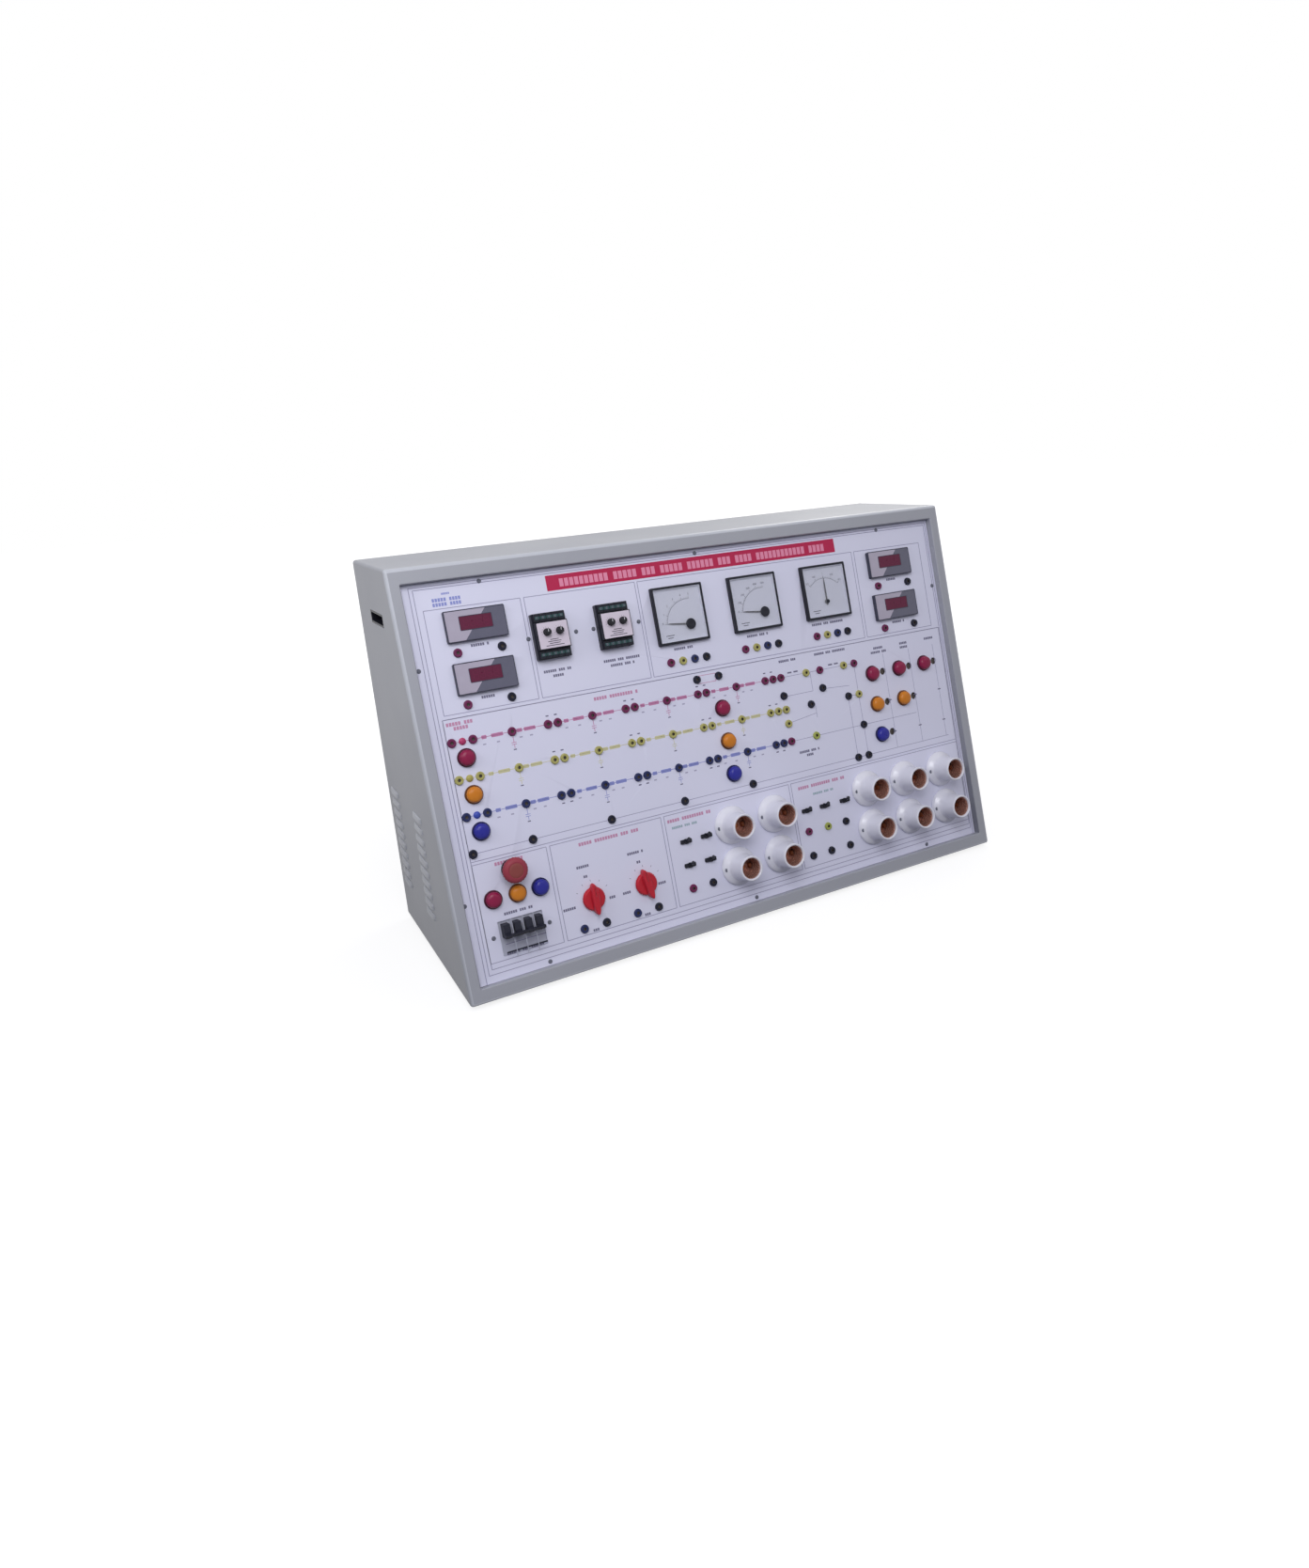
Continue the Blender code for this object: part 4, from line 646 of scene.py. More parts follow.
def words(bm, u, v, width, height, finish=0, counts=(6, 3, 8, 5, 4, 7), pitch=0):
    """Prints blocks the size of letters, in groups the length of words, centred on a place."""
    pitch = pitch or height * LETTER_PITCH_SHARE
    spots = round(width / pitch)
    spot = 0
    for count in counts * spots:
        for letter in range(count):
            if spot < spots:
                left = u + (spot - spots / 2) * pitch
                rule(bm, (left, v), (left + pitch * LETTER_SHARE, v), height, finish)
            spot += 1
        spot += 1


def outline(bm, left, right, top, bottom, width, finish=0):
    """Prints the four sides of a box."""
    for v in (top, bottom):
        rule(bm, (left, v), (right, v), width, finish)
    for u in (left, right):
        rule(bm, (u, top), (u, bottom), width, finish)


def ink(name, code, other):
    """Screen ink: a flat matt colour, with small swings in its density."""
    return grained(name, {"IOR": 1.48, "Specular IOR Level": 0.2}, (code, other), 9, (0.42, 0.55))


# A polyester overlay: pale lavender white, with a very fine grain that spreads the highlights
nodes["faceplate"].data.materials[0] = grained(
    "satin_overlay", {"IOR": 1.49, "Specular IOR Level": 0.5}, ("#DDDDEF", "#D7D8EC"), 220,
    (0.36, 0.46), 0.8, 0.01,
)
ease_edges("faceplate", 0.3 * MM)
inks = [
    ink("ink_rule_grey", "#9896B2", "#A09EB8"),
    ink("ink_text_grey", "#6C6A82", "#76748C"),
    ink("ink_red", "#BC7CA4", "#C486AC"),
    ink("ink_yellow", "#CAC69C", "#D0CCA6"),
    ink("ink_blue", "#868DCA", "#8F96D0"),
    ink("ink_mauve", "#C08AAA", "#C794B2"),
    ink("ink_teal", "#93A9B4", "#9DB1BB"),
    ink("ink_banner_red", "#B3264C", "#B92E54"),
    ink("ink_banner_pale", "#DE88A6", "#E492AE"),
    ink("ink_faint_grey", "#A6A4BC", "#AEACC4"),
    ink("ink_heading_blue", "#8890CC", "#939AD2"),
]
RULE, TEXT, RED, YELLOW, BLUE, PINK, TEAL, BANNER, PALE, FAINT, HEADING = range(len(inks))

art = bmesh.new()
for left, right, top, bottom in BOXES_MM + FRAMES_MM:
    outline(art, left, right, top, bottom, BOX_RULE, RULE)
banner_u, banner_v, banner_w, banner_h = BANNER_MM
rule(art, (banner_u - banner_w / 2, banner_v), (banner_u + banner_w / 2, banner_v), banner_h, BANNER)
below = len(art.verts)
words(art, banner_u, banner_v + 1, 516, 12.6, PALE, BANNER_WORDS, 8.6)
art.verts.ensure_lookup_table()
for vert in art.verts[below:]:
    vert.co.z += INK_T * MM
for v, width, height in HEADING_MM:
    words(art, 87, v, width, height, HEADING, (5, 8, 4))
for u, v, width in TEXT_BARS_MM:
    words(art, u, v, width, 4.2, TEXT)
for u, v, width in PINK_BARS_MM:
    words(art, u, v, width, 5.4, PINK, (5, 9, 3, 6))
for u, v, width in TEAL_BARS_MM:
    words(art, u, v, width, 4.0, TEAL)

for v, finish in zip(ROWS_V_MM, (RED, YELLOW, BLUE)):
    rule(art, (FIRST_U_MM, v), (LAST_U_MM, v), ROW_RULE, finish)
    for single in SINGLES_U_MM:
        for aside, length in STROKES_MM:
            bar(art, single + aside, v, length, STROKE_H, finish)
        if finish != YELLOW:
            for aside in MARKS_MM:
                bar(art, single + aside, v + MARK_DROP, 5, 2.2, FAINT)
        near, far = TAP_MM
        rule(art, (single, v), (single, v + near), THIN_RULE, finish)
        for drop in TAP_MM:
            rule(art, (single - 4, v + drop), (single + 4, v + drop), ROW_RULE, finish)
        rule(art, (single, v + far), (single, v + far + 6), THIN_RULE, finish)
        bar(art, single, v + far + 8, 5, 1.8, TEXT)
    for pair in PAIRS_U_MM:
        for aside in (-7, 7):
            lift = LABEL_RISE if finish == BLUE else -LABEL_RISE
            bar(art, pair + aside, v + lift, 5, 2.0, TEXT)
neutral_v = ROWS_V_MM[3]
rule(art, (FIRST_U_MM, neutral_v), (1003, neutral_v), ROW_RULE, RULE)
outline(art, 484, 518, 235, 248, ROW_RULE, PINK)
for u in LOAD_RULES_U_MM:
    rule(art, (u, 258), (u, neutral_v), 0.7, RULE)
    for v in (345, 404):
        bar(art, u, v, 7, 2, TEXT)
for start, end in FAULT_RULES_MM:
    rule(art, start, end, THIN_RULE, RULE)
for u in (667, 680, 756, 769):
    bar(art, u, 259, 9, 2.6, TEXT)
piece("panel_print", art, inks)

screws = bmesh.new()
for u, v in PLATE_SCREWS_MM:
    screw(screws, spot_mm(u, v))
piece("panel_screws", screws, [blackened])

# Sockets
# Four millimetre laboratory sockets: a coloured nylon flange and collar round a brass tube. They
# stand through the panel from insulating boards, each tightened against it from behind.
SOCKET_MM = (
    (5.6, -3.3), (5.6, 0.1), (7.0, 0.1), (7.0, 1.3), (6.3, 1.7), (6.2, 4.0), (3.4, 4.0),
    (2.9, 3.4), (2.5, 3.4), (2.5, -3.0),
)
TUBE_MM = ((2.5, -3.2), (2.5, 3.0), (2.1, 3.0), (2.1, -3.0))
BORE_MM = ((2.1, -3.1), (2.1, 0.6), (0.4, 0.2))
LINK_MM = (
    (4.2, -3.3), (4.2, 0.1), (5.6, 0.1), (5.6, 1.2), (4.4, 1.6), (4.0, 2.6), (2.2, 3.4), (0.6, 3.6),
)
CAP_FINENESS = 0.05 * MM
into_plate = plate_face.inverted()


def node_mesh(node, into=None):
    """A CAD node's mesh, as one skin, seen from the panel's face."""
    bm = bmesh.new()
    bm.from_mesh(nodes[node].data)
    bmesh.ops.remove_doubles(bm, verts=bm.verts[:], dist=CAP_FINENESS / 5)
    bm.transform(into or into_plate)
    return bm


def tops(node, height):
    """Middles of a node's flat tops at a height over the panel, from left to right."""
    bm = node_mesh(node)
    level = [vert for vert in bm.verts if abs(vert.co.z - height) < CAP_FINENESS]
    left = set(level)
    middles = []
    for first in level:
        if first not in left:
            continue
        left.discard(first)
        rim = [first]
        for vert in rim:
            for edge in vert.link_edges:
                other = edge.other_vert(vert)
                if other in left:
                    left.discard(other)
                    rim.append(other)
        xs = [vert.co.x for vert in rim]
        ys = [vert.co.y for vert in rim]
        middles.append(((min(xs) + max(xs)) / 2, (min(ys) + max(ys)) / 2))
    bm.free()
    return sorted(middles)


def behind_panel(node, into=None):
    """What a node has behind the panel, cut off flush there."""
    bm = node_mesh(node, into)
    parts = bm.verts[:] + bm.edges[:] + bm.faces[:]
    cut = -(PLATE_T + 0.3 * MM)
    bmesh.ops.bisect_plane(bm, geom=parts, plane_co=(0, 0, cut), plane_no=(0, 0, 1), clear_outer=True)
    bmesh.ops.holes_fill(bm, edges=[edge for edge in bm.edges if edge.is_boundary], sides=0)
    for face in bm.faces:
        face.material_index = 0
    return bm


def nylon(name, code, other):
    """Dyed nylon, moulded: a waxy, slightly glossy colour."""
    return grained(name, {"IOR": 1.53, "Specular IOR Level": 0.2}, (code, other), 6, (0.28, 0.38))


def sockets_on(bm, places, finishes):
    """Adds a socket at each place, with the number of its colour from the list."""
    for place, finish in zip(places, finishes):
        turned(bm, eased(SOCKET_MM, 0.35, 2), place, finish)
        turned(bm, TUBE_MM, place, BRASS, 20)
        turned(bm, BORE_MM, place, BOARD, 20)


socket_finishes = [
    # Phenolic laminate: dark brown black, with a dull resin gloss
    grained("phenolic_laminate", {"IOR": 1.55}, ("#241C1A", "#33271F"), 25, (0.4, 0.55)),
    # Brass, dull and drawn a deep brown so that it barely shows in its socket: painted shade in the bore
    grained("brass_painted_shade", {"Metallic": 1.0}, ("#3A2F26", "#2C241E"), 3, (0.35, 0.5), 0.3, 0.02),
    nylon("nylon_red", "#64204A", "#6E2852"),
    nylon("nylon_yellow", "#A49F5E", "#ADA86A"),
    nylon("nylon_blue", "#1E2650", "#262E5A"),
    nylon("nylon_black", "#0A0D22", "#11142A"),
    nylon("nylon_green", "#98A04E", "#A2AA5A"),
]
BOARD, BRASS, S_RED, S_YELLOW, S_BLUE, S_BLACK, S_GREEN = range(len(socket_finishes))
SOCKET_TOP = 4 * MM
LINK_TOP = 3 * MM

# Line model: sockets, pilot lamps and link lamps
# Each phase has its own board with a row of sockets. Below the row stand pilot lamps, whose
# acrylic lenses are domed and dyed through, and a small lamp sits between the input sockets.
LAMP_TOP = 12.5 * MM
BEZEL_MM = (
    (9.0, -3.3), (9.0, 0.1), (14.5, 0.1), (14.5, 2.6), (13.4, 4.0), (12.6, 4.0), (12.6, 3.0),
)
LENS_MM = ((12.4, 2.6), (12.4, 6.6), (11.4, 9.4), (8.6, 11.5), (4.6, 12.4), (0.8, 12.5))


def acrylic(name, code, other):
    """Dyed acrylic over a dark lamp: a deep even colour under a clear hard gloss."""
    sockets = {"IOR": 1.49, "Specular IOR Level": 0.2, "Coat Weight": 0.12, "Coat Roughness": 0.16}
    return grained(name, sockets, (code, other), 8, (0.24, 0.34))


def pilot_lamp(bm, middle, lens, bezel):
    """Adds a pilot lamp: a dark bezel ring and the lens that stands in it."""
    turned(bm, eased(BEZEL_MM, 0.4, 2), middle, bezel)
    turned(bm, eased(LENS_MM, 1.6, 3), middle, lens)


def row_order(places):
    """Splits places into those on the main row, the one that holds most, and the others."""
    heights = [round(y, 4) for x, y in places]
    main = max(set(heights), key=heights.count)
    on = [place for place, height in zip(places, heights) if height == main]
    off = [place for place, height in zip(places, heights) if height != main]
    return on, off


lenses = {
    "red": acrylic("acrylic_red", "#820C3C", "#8E1446"),
    "amber": acrylic("acrylic_amber", "#C4731A", "#D08022"),
    "blue": acrylic("acrylic_blue", "#22248C", "#2A2C96"),
}
bezels = {
    "red": moulded("bezel_red", "#431228", "#4C1830"),
    "amber": moulded("bezel_amber", "#60381C", "#6A4024"),
    "blue": moulded("bezel_blue", "#18184A", "#202054"),
}
links = {
    "red": acrylic("acrylic_link_red", "#A93060", "#B23A6A"),
    "amber": acrylic("acrylic_link_yellow", "#A69C52", "#AFA65E"),
    "blue": acrylic("acrylic_link_blue", "#3346A6", "#3D50B0"),
}
# The main row's colours run in from the right, where they differ from the phase's own
PHASES = (
    ("red", "red", S_RED, (S_YELLOW, S_RED, S_YELLOW, S_RED), (S_RED,) + (S_BLACK,) * 6),
    ("yellow", "amber", S_YELLOW, (S_YELLOW, S_BLACK, S_BLACK, S_YELLOW), (S_BLACK, S_BLACK, S_YELLOW)),
    ("blue", "blue", S_BLUE, (S_RED, S_GREEN, S_BLACK), (S_BLACK,)),
)
for name, lamp, own, right_end, others in PHASES:
    node = f"socket_board_{name}"
    board = behind_panel(node)
    on, off = row_order(tops(node, SOCKET_TOP))
    colors = [own] * (len(on) - len(right_end)) + list(right_end)
    sockets_on(board, on, colors)
    sockets_on(board, off, others)
    for place in tops(node, LAMP_TOP):
        pilot_lamp(board, place, len(socket_finishes), len(socket_finishes) + 1)
    for place in tops(node, LINK_TOP):
        turned(board, eased(LINK_MM, 0.3, 2), place, len(socket_finishes) + 2)
    finishes = socket_finishes + [lenses[lamp], bezels[lamp], links[lamp]]
    piece(f"{name}_phase_row", board, finishes, replaced=(node,))

board = behind_panel("socket_board_neutral")
places = tops("socket_board_neutral", SOCKET_TOP)
sockets_on(board, places, [S_BLACK] * len(places))
piece("neutral_row", board, socket_finishes, replaced=("socket_board_neutral",))

# The instruments' sockets: red and black under each panel meter, four colours under each dial
board = behind_panel("instrument_socket_board")
places = tops("instrument_socket_board", SOCKET_TOP)
rows = {}
for place in places:
    rows.setdefault(round(place[1], 3), []).append(place)
for row in rows.values():
    cycle = (S_RED, S_YELLOW, S_BLUE, S_BLACK) if len(row) > 4 else (S_RED, S_BLACK)
    sockets_on(board, row, [cycle[i % len(cycle)] for i in range(len(row))])
piece("instrument_sockets", board, socket_finishes, replaced=("instrument_socket_board",))

# Supply lamps
# Three pilot lamps, one for each phase of the supply, on a bracket behind the panel.
board = behind_panel("supply_lamps")
supply_finishes = [zinc] + [kind[name] for name in ("red", "amber", "blue") for kind in (lenses, bezels)]
for number, place in enumerate(tops("supply_lamps", LAMP_TOP)):
    pilot_lamp(board, place, 1 + 2 * number, 2 + 2 * number)
piece("supply_pilot_lamps", board, supply_finishes, replaced=("supply_lamps",))

# Panel meters
# Digital meters in black ABS cases. The fascia is printed slate, with a painted reflection in pale
# grey left of a slant, and a dark red filter covers the digits, which are off.
METER_CASE_MM = (
    (90, 42, 1, -3.4), (90, 42, 1, 0.3), (96, 48, 2, 0.3), (96, 48, 2, 6.6), (95.4, 47.4, 2.2, 7.6),
    (94.6, 46.6, 2, 8.0), (93.6, 45.6, 1.6, 8.0), (93.2, 45.2, 1.5, 7.3),
)
METER_FACE_MM = ((93.0, 45.0, 1.4, 7.2), (92.8, 44.8, 1.4, 7.5))
WINDOW_RIM_MM = (
    (52, 22, 1.4, 7.2), (52, 22, 1.4, 7.8), (51.4, 21.4, 1.2, 8.0), (50.8, 20.8, 0.9, 8.0),
    (50.2, 20.2, 0.8, 7.6),
)
FILTER_MM = ((50.2, 20.2, 0.8, 7.3), (50.0, 20.0, 0.8, 7.7))
WINDOW_UP = 3 * MM
# The slant and the edge of the painted reflection on the fascia
REFLECTION_SLANT = -0.84
REFLECTION_EDGE = -1.5 * MM
DIGITS = 4
DIGIT_PITCH = 10.6 * MM
DIGIT_W = 7.2
DIGIT_H = 12.0
DIGIT_Z = 7.65
SEGMENT_W = 1.1
STROKE_T = 0.1


def local_middle(node):
    """The middle of a node in the plane of the panel."""
    points = [into_plate @ vert.co for vert in nodes[node].data.vertices]
    xs = [point.x for point in points]
    ys = [point.y for point in points]
    return (min(xs) + max(xs)) / 2, (min(ys) + max(ys)) / 2


def stand(middle, height=0, turn=0):
    """The matrix of a piece that is drawn round its own middle on the panel's face."""
    return plate_face @ Matrix.Translation((*middle, height)) @ Matrix.Rotation(turn, 4, "Z")


def instrument(node):
    """An instrument's place on the panel, and the part of its node behind the panel."""
    place = stand(local_middle(node))
    return place, behind_panel(node, place.inverted())


def evenly(count, pitch):
    """Places in a row, with zero in its middle."""
    return [(step - (count - 1) / 2) * pitch for step in range(count)]


def fascia_with_painted_reflection():
    """Gloss polycarbonate printed slate on its back. Left of a slant, pale grey is a painted
    reflection.
    """
    made, tree, shader = surface("polycarbonate_painted_reflection", {"IOR": 1.58, "Roughness": 0.22})
    where = add(tree, "ShaderNodeTexCoord").outputs["Object"]
    axes = add(tree, "ShaderNodeSeparateXYZ", {0: where}).outputs
    slanted = worked_out(tree, "MULTIPLY", axes["Y"], REFLECTION_SLANT)
    across = worked_out(tree, "ADD", axes["X"], slanted)
    right = worked_out(tree, "GREATER_THAN", across, REFLECTION_EDGE)
    grain = add(tree, "ShaderNodeTexNoise", {"Vector": where, "Scale": 1 / (14 * MM)}).outputs["Fac"]
    painted_reflection = blend(tree, grain, hue("#A69FB0"), hue("#AFA8BA"))
    slate = blend(tree, grain, hue("#4D4D62"), hue("#57576C"))
    tree.links.new(blend(tree, right, painted_reflection, slate), shader.inputs["Base Color"])
    return made


def seven_segments(bm, x, finish):
    """Adds the seven bars of one digit in the window."""
    level = (DIGIT_W - 2, SEGMENT_W, 0.3)
    upright = (SEGMENT_W, DIGIT_H / 2 - 1.6, 0.3)
    bars = [(0, up, level) for up in (-1, 0, 1)]
    bars += [(side, up, upright) for up in (-0.5, 0.5) for side in (-1, 1)]
    for side, up, size in bars:
        at = (x + side * DIGIT_W / 2 * MM, WINDOW_UP + up * DIGIT_H / 2 * MM)
        slab(bm, size, DIGIT_Z, DIGIT_Z + STROKE_T, at, finish)


fascia = fascia_with_painted_reflection()
filter_red = acrylic("acrylic_filter_red", "#581534", "#621B3C")
segments = ink("unlit_segments", "#641A3A", "#6C2042")
slate_abs = moulded("slate_abs", "#3A3B4A", "#434454")
meter_finishes = [slate_abs, fascia, filter_red, segments]
for side in ("left", "right"):
    for level in ("upper", "lower"):
        node = f"panel_meter_{side}_{level}"
        place, case = instrument(node)
        raised(case, METER_CASE_MM)
        raised(case, METER_FACE_MM, finish=1)
        raised(case, WINDOW_RIM_MM, (0, WINDOW_UP))
        raised(case, FILTER_MM, (0, WINDOW_UP), 2)
        for x in evenly(DIGITS, DIGIT_PITCH):
            seven_segments(case, x, 3)
        piece(f"{node}_case", case, meter_finishes, replaced=(node,), place=place)

# Dial meters
# Moving needle meters: a thin black bezel, a white card with its scale, a clear front, and a
# round black cap over the pivot. The needle is pressed aluminium, painted black.
DIALS = (
    (("0", "1", "2", "3", "4", "5"), 173, 83, 173, (16.0, -18.5)),
    (("0", "100", "200", "300", "400", "500"), 173, 83, 173, (16.0, -18.5)),
    (("0.5", "0.8", "1", "0.8", "0.5"), 135, 45, 90, (0.0, -18.5)),
)
SCALE_R = 42.0
CARD_Z = 3.05
DIAL_CASE_MM = (
    (88, 1, -3.4), (88, 1, 0.3), (96, 1.6, 0.3), (96, 1.6, 6.6), (95.2, 1.6, 7.7), (94, 1.6, 8.0),
    (89, 1, 8.0), (88.2, 0.8, 7.6), (87.6, 0.8, 2.6),
)
CARD_MM = ((87.4, 0.8, 2.5), (87.0, 0.8, 3.0))
LINING_MM = ((87.7, 0.8, 2.7), (87.9, 0.8, 6.8), (86.4, 0.6, 6.8), (85.8, 0.6, 2.7))
FRONT_MM = ((88.0, 0.8, 7.0), (88.0, 0.8, 7.5))
CORNER_CAP_MM = ((7.4, 6.0), (9.0, 6.4), (9.0, 8.2), (7.6, 9.0), (3.4, 9.1), (3.0, 8.6), (0.6, 8.6))
MIDDLE_CAP_MM = ((3.4, 6.0), (3.6, 8.2), (2.8, 8.7), (0.6, 8.7))
HUB_MM = ((3.2, 0), (4.4, 0.2), (4.4, 1.6), (3.0, 2.5), (0.8, 2.5))
HUB_Z = 3.3 * MM
BLADE_MM = ((-6, 1.8), (-3, 1.7), (14, 1.5), (34, 1.2), (43, 0.3))
BLADE_LEVELS_MM = (1.0, 1.4)


def clear_front():
    """Clear polystyrene: all but invisible, with a sharp gloss that lies over the card."""
    sockets = {"IOR": 1.55, "Alpha": 0.10, "Base Color": hue("#E8EAF4"), "Specular IOR Level": 0.3}
    made, tree, shader = surface("clear_polystyrene", sockets)
    where = add(tree, "ShaderNodeTexCoord").outputs["Object"]
    haze = add(tree, "ShaderNodeTexNoise", {"Vector": where, "Scale": 1 / (18 * MM)}).outputs["Fac"]
    spread = add(tree, "ShaderNodeMapRange", {"Value": haze, 3: 0.03, 4: 0.09}).outputs[0]
    tree.links.new(spread, shader.inputs["Roughness"])
    return made


def square(steps):
    """Steps of a square body, for raised, from (side, corner, z) steps."""
    return [(side, side, corner, z) for side, corner, z in steps]


def polar(pivot, radius, degrees):
    """The place at a distance and an angle from a pivot."""
    angle = math.radians(degrees)
    return pivot[0] + radius * math.cos(angle), pivot[1] + radius * math.sin(angle)


def radial_bar(bm, pivot, inner, outer, degrees, width, z, finish):
    """Adds a flat stroke along a radius, in millimetres."""
    ends = (polar(pivot, radius, degrees) for radius in (inner, outer))
    stroke(bm, *ends, width, z, z + STROKE_T, finish)


def arc_band(bm, pivot, radius, width, start, end, z, finish, steps=30):
    """Adds a flat curved band round a pivot, in millimetres and degrees."""
    angles = [start + (end - start) * step / steps for step in range(steps + 1)]
    rim = [polar(pivot, radius + width / 2, a) for a in angles]
    rim += [polar(pivot, radius - width / 2, a) for a in reversed(angles)]
    flat(bm, rim, z, z + STROKE_T, finish)


def numeral(bm, text, middle, size, z, finish):
    """Adds a number, drawn flat as a thin solid."""
    curve = bpy.data.curves.new("numeral", "FONT")
    curve.body = text
    curve.size = size * MM
    curve.align_x = "CENTER"
    curve.align_y = "CENTER"
    curve.extrude = STROKE_T / 2 * MM
    curve.resolution_u = 2
    holder = bpy.data.objects.new("numeral", curve)
    scene.collection.objects.link(holder)
    bpy.context.view_layer.update()
    mesh = bpy.data.meshes.new_from_object(holder.evaluated_get(bpy.context.evaluated_depsgraph_get()))
    bpy.data.objects.remove(holder)
    bpy.data.curves.remove(curve)
    mesh.transform(Matrix.Translation(Vector((*middle, z)) * MM))
    before = len(bm.faces)
    bm.from_mesh(mesh)
    bpy.data.meshes.remove(mesh)
    bm.faces.ensure_lookup_table()
    for face in bm.faces[before:]:
        face.material_index = finish


# Painted aluminium card: warm white and matt
card = grained("white_painted_card", {"IOR": 1.45}, ("#C6C8D6", "#CDCFDC"), 40, (0.5, 0.6))
card_ink = ink("ink_scale_black", "#34343F", "#3C3C48")
dial_finishes = [black_abs, card, card_ink, clear_front(), zinc]
needle_black = moulded("needle_paint_black", "#17171B", "#1E1E22", (0.4, 0.5), 0.5)
for number, (labels, start, end, rest, pivot) in enumerate(DIALS, 1):
    node = f"dial_meter_{number}"
    place, case = instrument(node)
    raised(case, square(DIAL_CASE_MM))
    raised(case, square(CARD_MM), finish=1)
    lining = [rect(w * MM, h * MM, corner * MM, z * MM) for w, h, corner, z in square(LINING_MM)]
    loft(case, lining, 1, True)
    arc_band(case, pivot, SCALE_R, 0.5, start, end, CARD_Z, 2)
    parts = 5 * (len(labels) - 1)
    for tick in range(parts + 1):
        degrees = start + (end - start) * tick / parts
        length, width = (2.4, 0.4) if tick % 5 else (4.2, 0.6)
        radial_bar(case, pivot, SCALE_R, SCALE_R + length, degrees, width, CARD_Z, 2)
        if tick % 5 == 0:
            at = polar(pivot, SCALE_R + 8.2, degrees)
            numeral(case, labels[tick // 5], at, 5.2, CARD_Z + STROKE_T / 2, 2)
    for drop, width in ((-33, 16), (-37, 10)):
        slab(case, (width, 1.3, 0.3), CARD_Z, CARD_Z + STROKE_T, (-24 * MM, drop * MM), 2)
    spot = Vector((*pivot, 0)) * MM
    cap, reach = (CORNER_CAP_MM, 0.5) if pivot[0] else (MIDDLE_CAP_MM, 0.4)
    turned(case, eased(cap, reach, 2), spot)
    raised(case, square(FRONT_MM), finish=3)
    piece(f"{node}_case", case, dial_finishes, replaced=(node,), place=place)

    needle_node = f"dial_needle_{number}"
    needle = bmesh.new()
    turned(needle, eased(HUB_MM, 0.4, 2))
    rim = [(x, w) for x, w in BLADE_MM] + [(x, -w) for x, w in reversed(BLADE_MM)]
    flat(needle, rim, *BLADE_LEVELS_MM)
    at = spot + Vector((*local_middle(node), HUB_Z))
    piece(f"{needle_node}_blade", needle, [needle_black], body=f"needle_{number}",
          replaced=(needle_node,), place=stand(at.xy, at.z, math.radians(rest)))

# Relays
# Protection relays in black cases: a pale printed setting face between two rows of green screw
# terminals, with two small setting knobs that turn on it.
RELAY_CASE_MM = (
    (50, 66, 1, -3.4), (50, 66, 1, 0.3), (56, 72, 1.5, 0.3), (56, 72, 1.5, 10.2), (55, 71, 1.5, 11.0),
)
RELAY_NOSE_MM = ((53, 43, 1.2, 10.5), (53, 43, 1.2, 19.2), (52, 42, 1.2, 20.0))
BLOCK_MM = ((52, 12.4, 0.8, 10.8), (52, 12.4, 0.8, 13.6), (51.2, 11.6, 0.8, 14.2))
BLOCK_OUT = 28.7 * MM
STRIP_MM = ((47, 4.8, 0.5, 14.0), (47, 4.8, 0.5, 14.6), (46.4, 4.2, 0.5, 14.9))
TERMINALS = 5
TERMINAL_PITCH = 10.2 * MM
TERMINAL_MM = ((1.7, 14.8), (1.7, 15.1), (1.4, 15.3))
SETTING_MM = ((5.6, 0), (6.0, 0.4), (6.0, 2.0), (5.2, 2.6), (4.9, 8.2), (4.2, 9.0), (0.8, 9.0))
SETTING_LIFT = 20.3 * MM
SETTING_PLACES_MM = ((-10.5, 5.0), (10.5, 5.0))
RELAY_SCREWS_MM = (
    (202.2, 129.4), (282.8, 129.4), (313.1, 129.4), (394.3, 129.4), (56.8, 568.7), (148.6, 568.7),
)


def ribs(bm, count, radius, profile, sides=6):
    """Adds a ring of upright ribs, each turned from a profile, at a radius in millimetres."""
    for rib in range(count):
        at = Vector(polar((0, 0), radius, 360 * rib / count)) * MM
        turned(bm, profile, at, 0, sides)


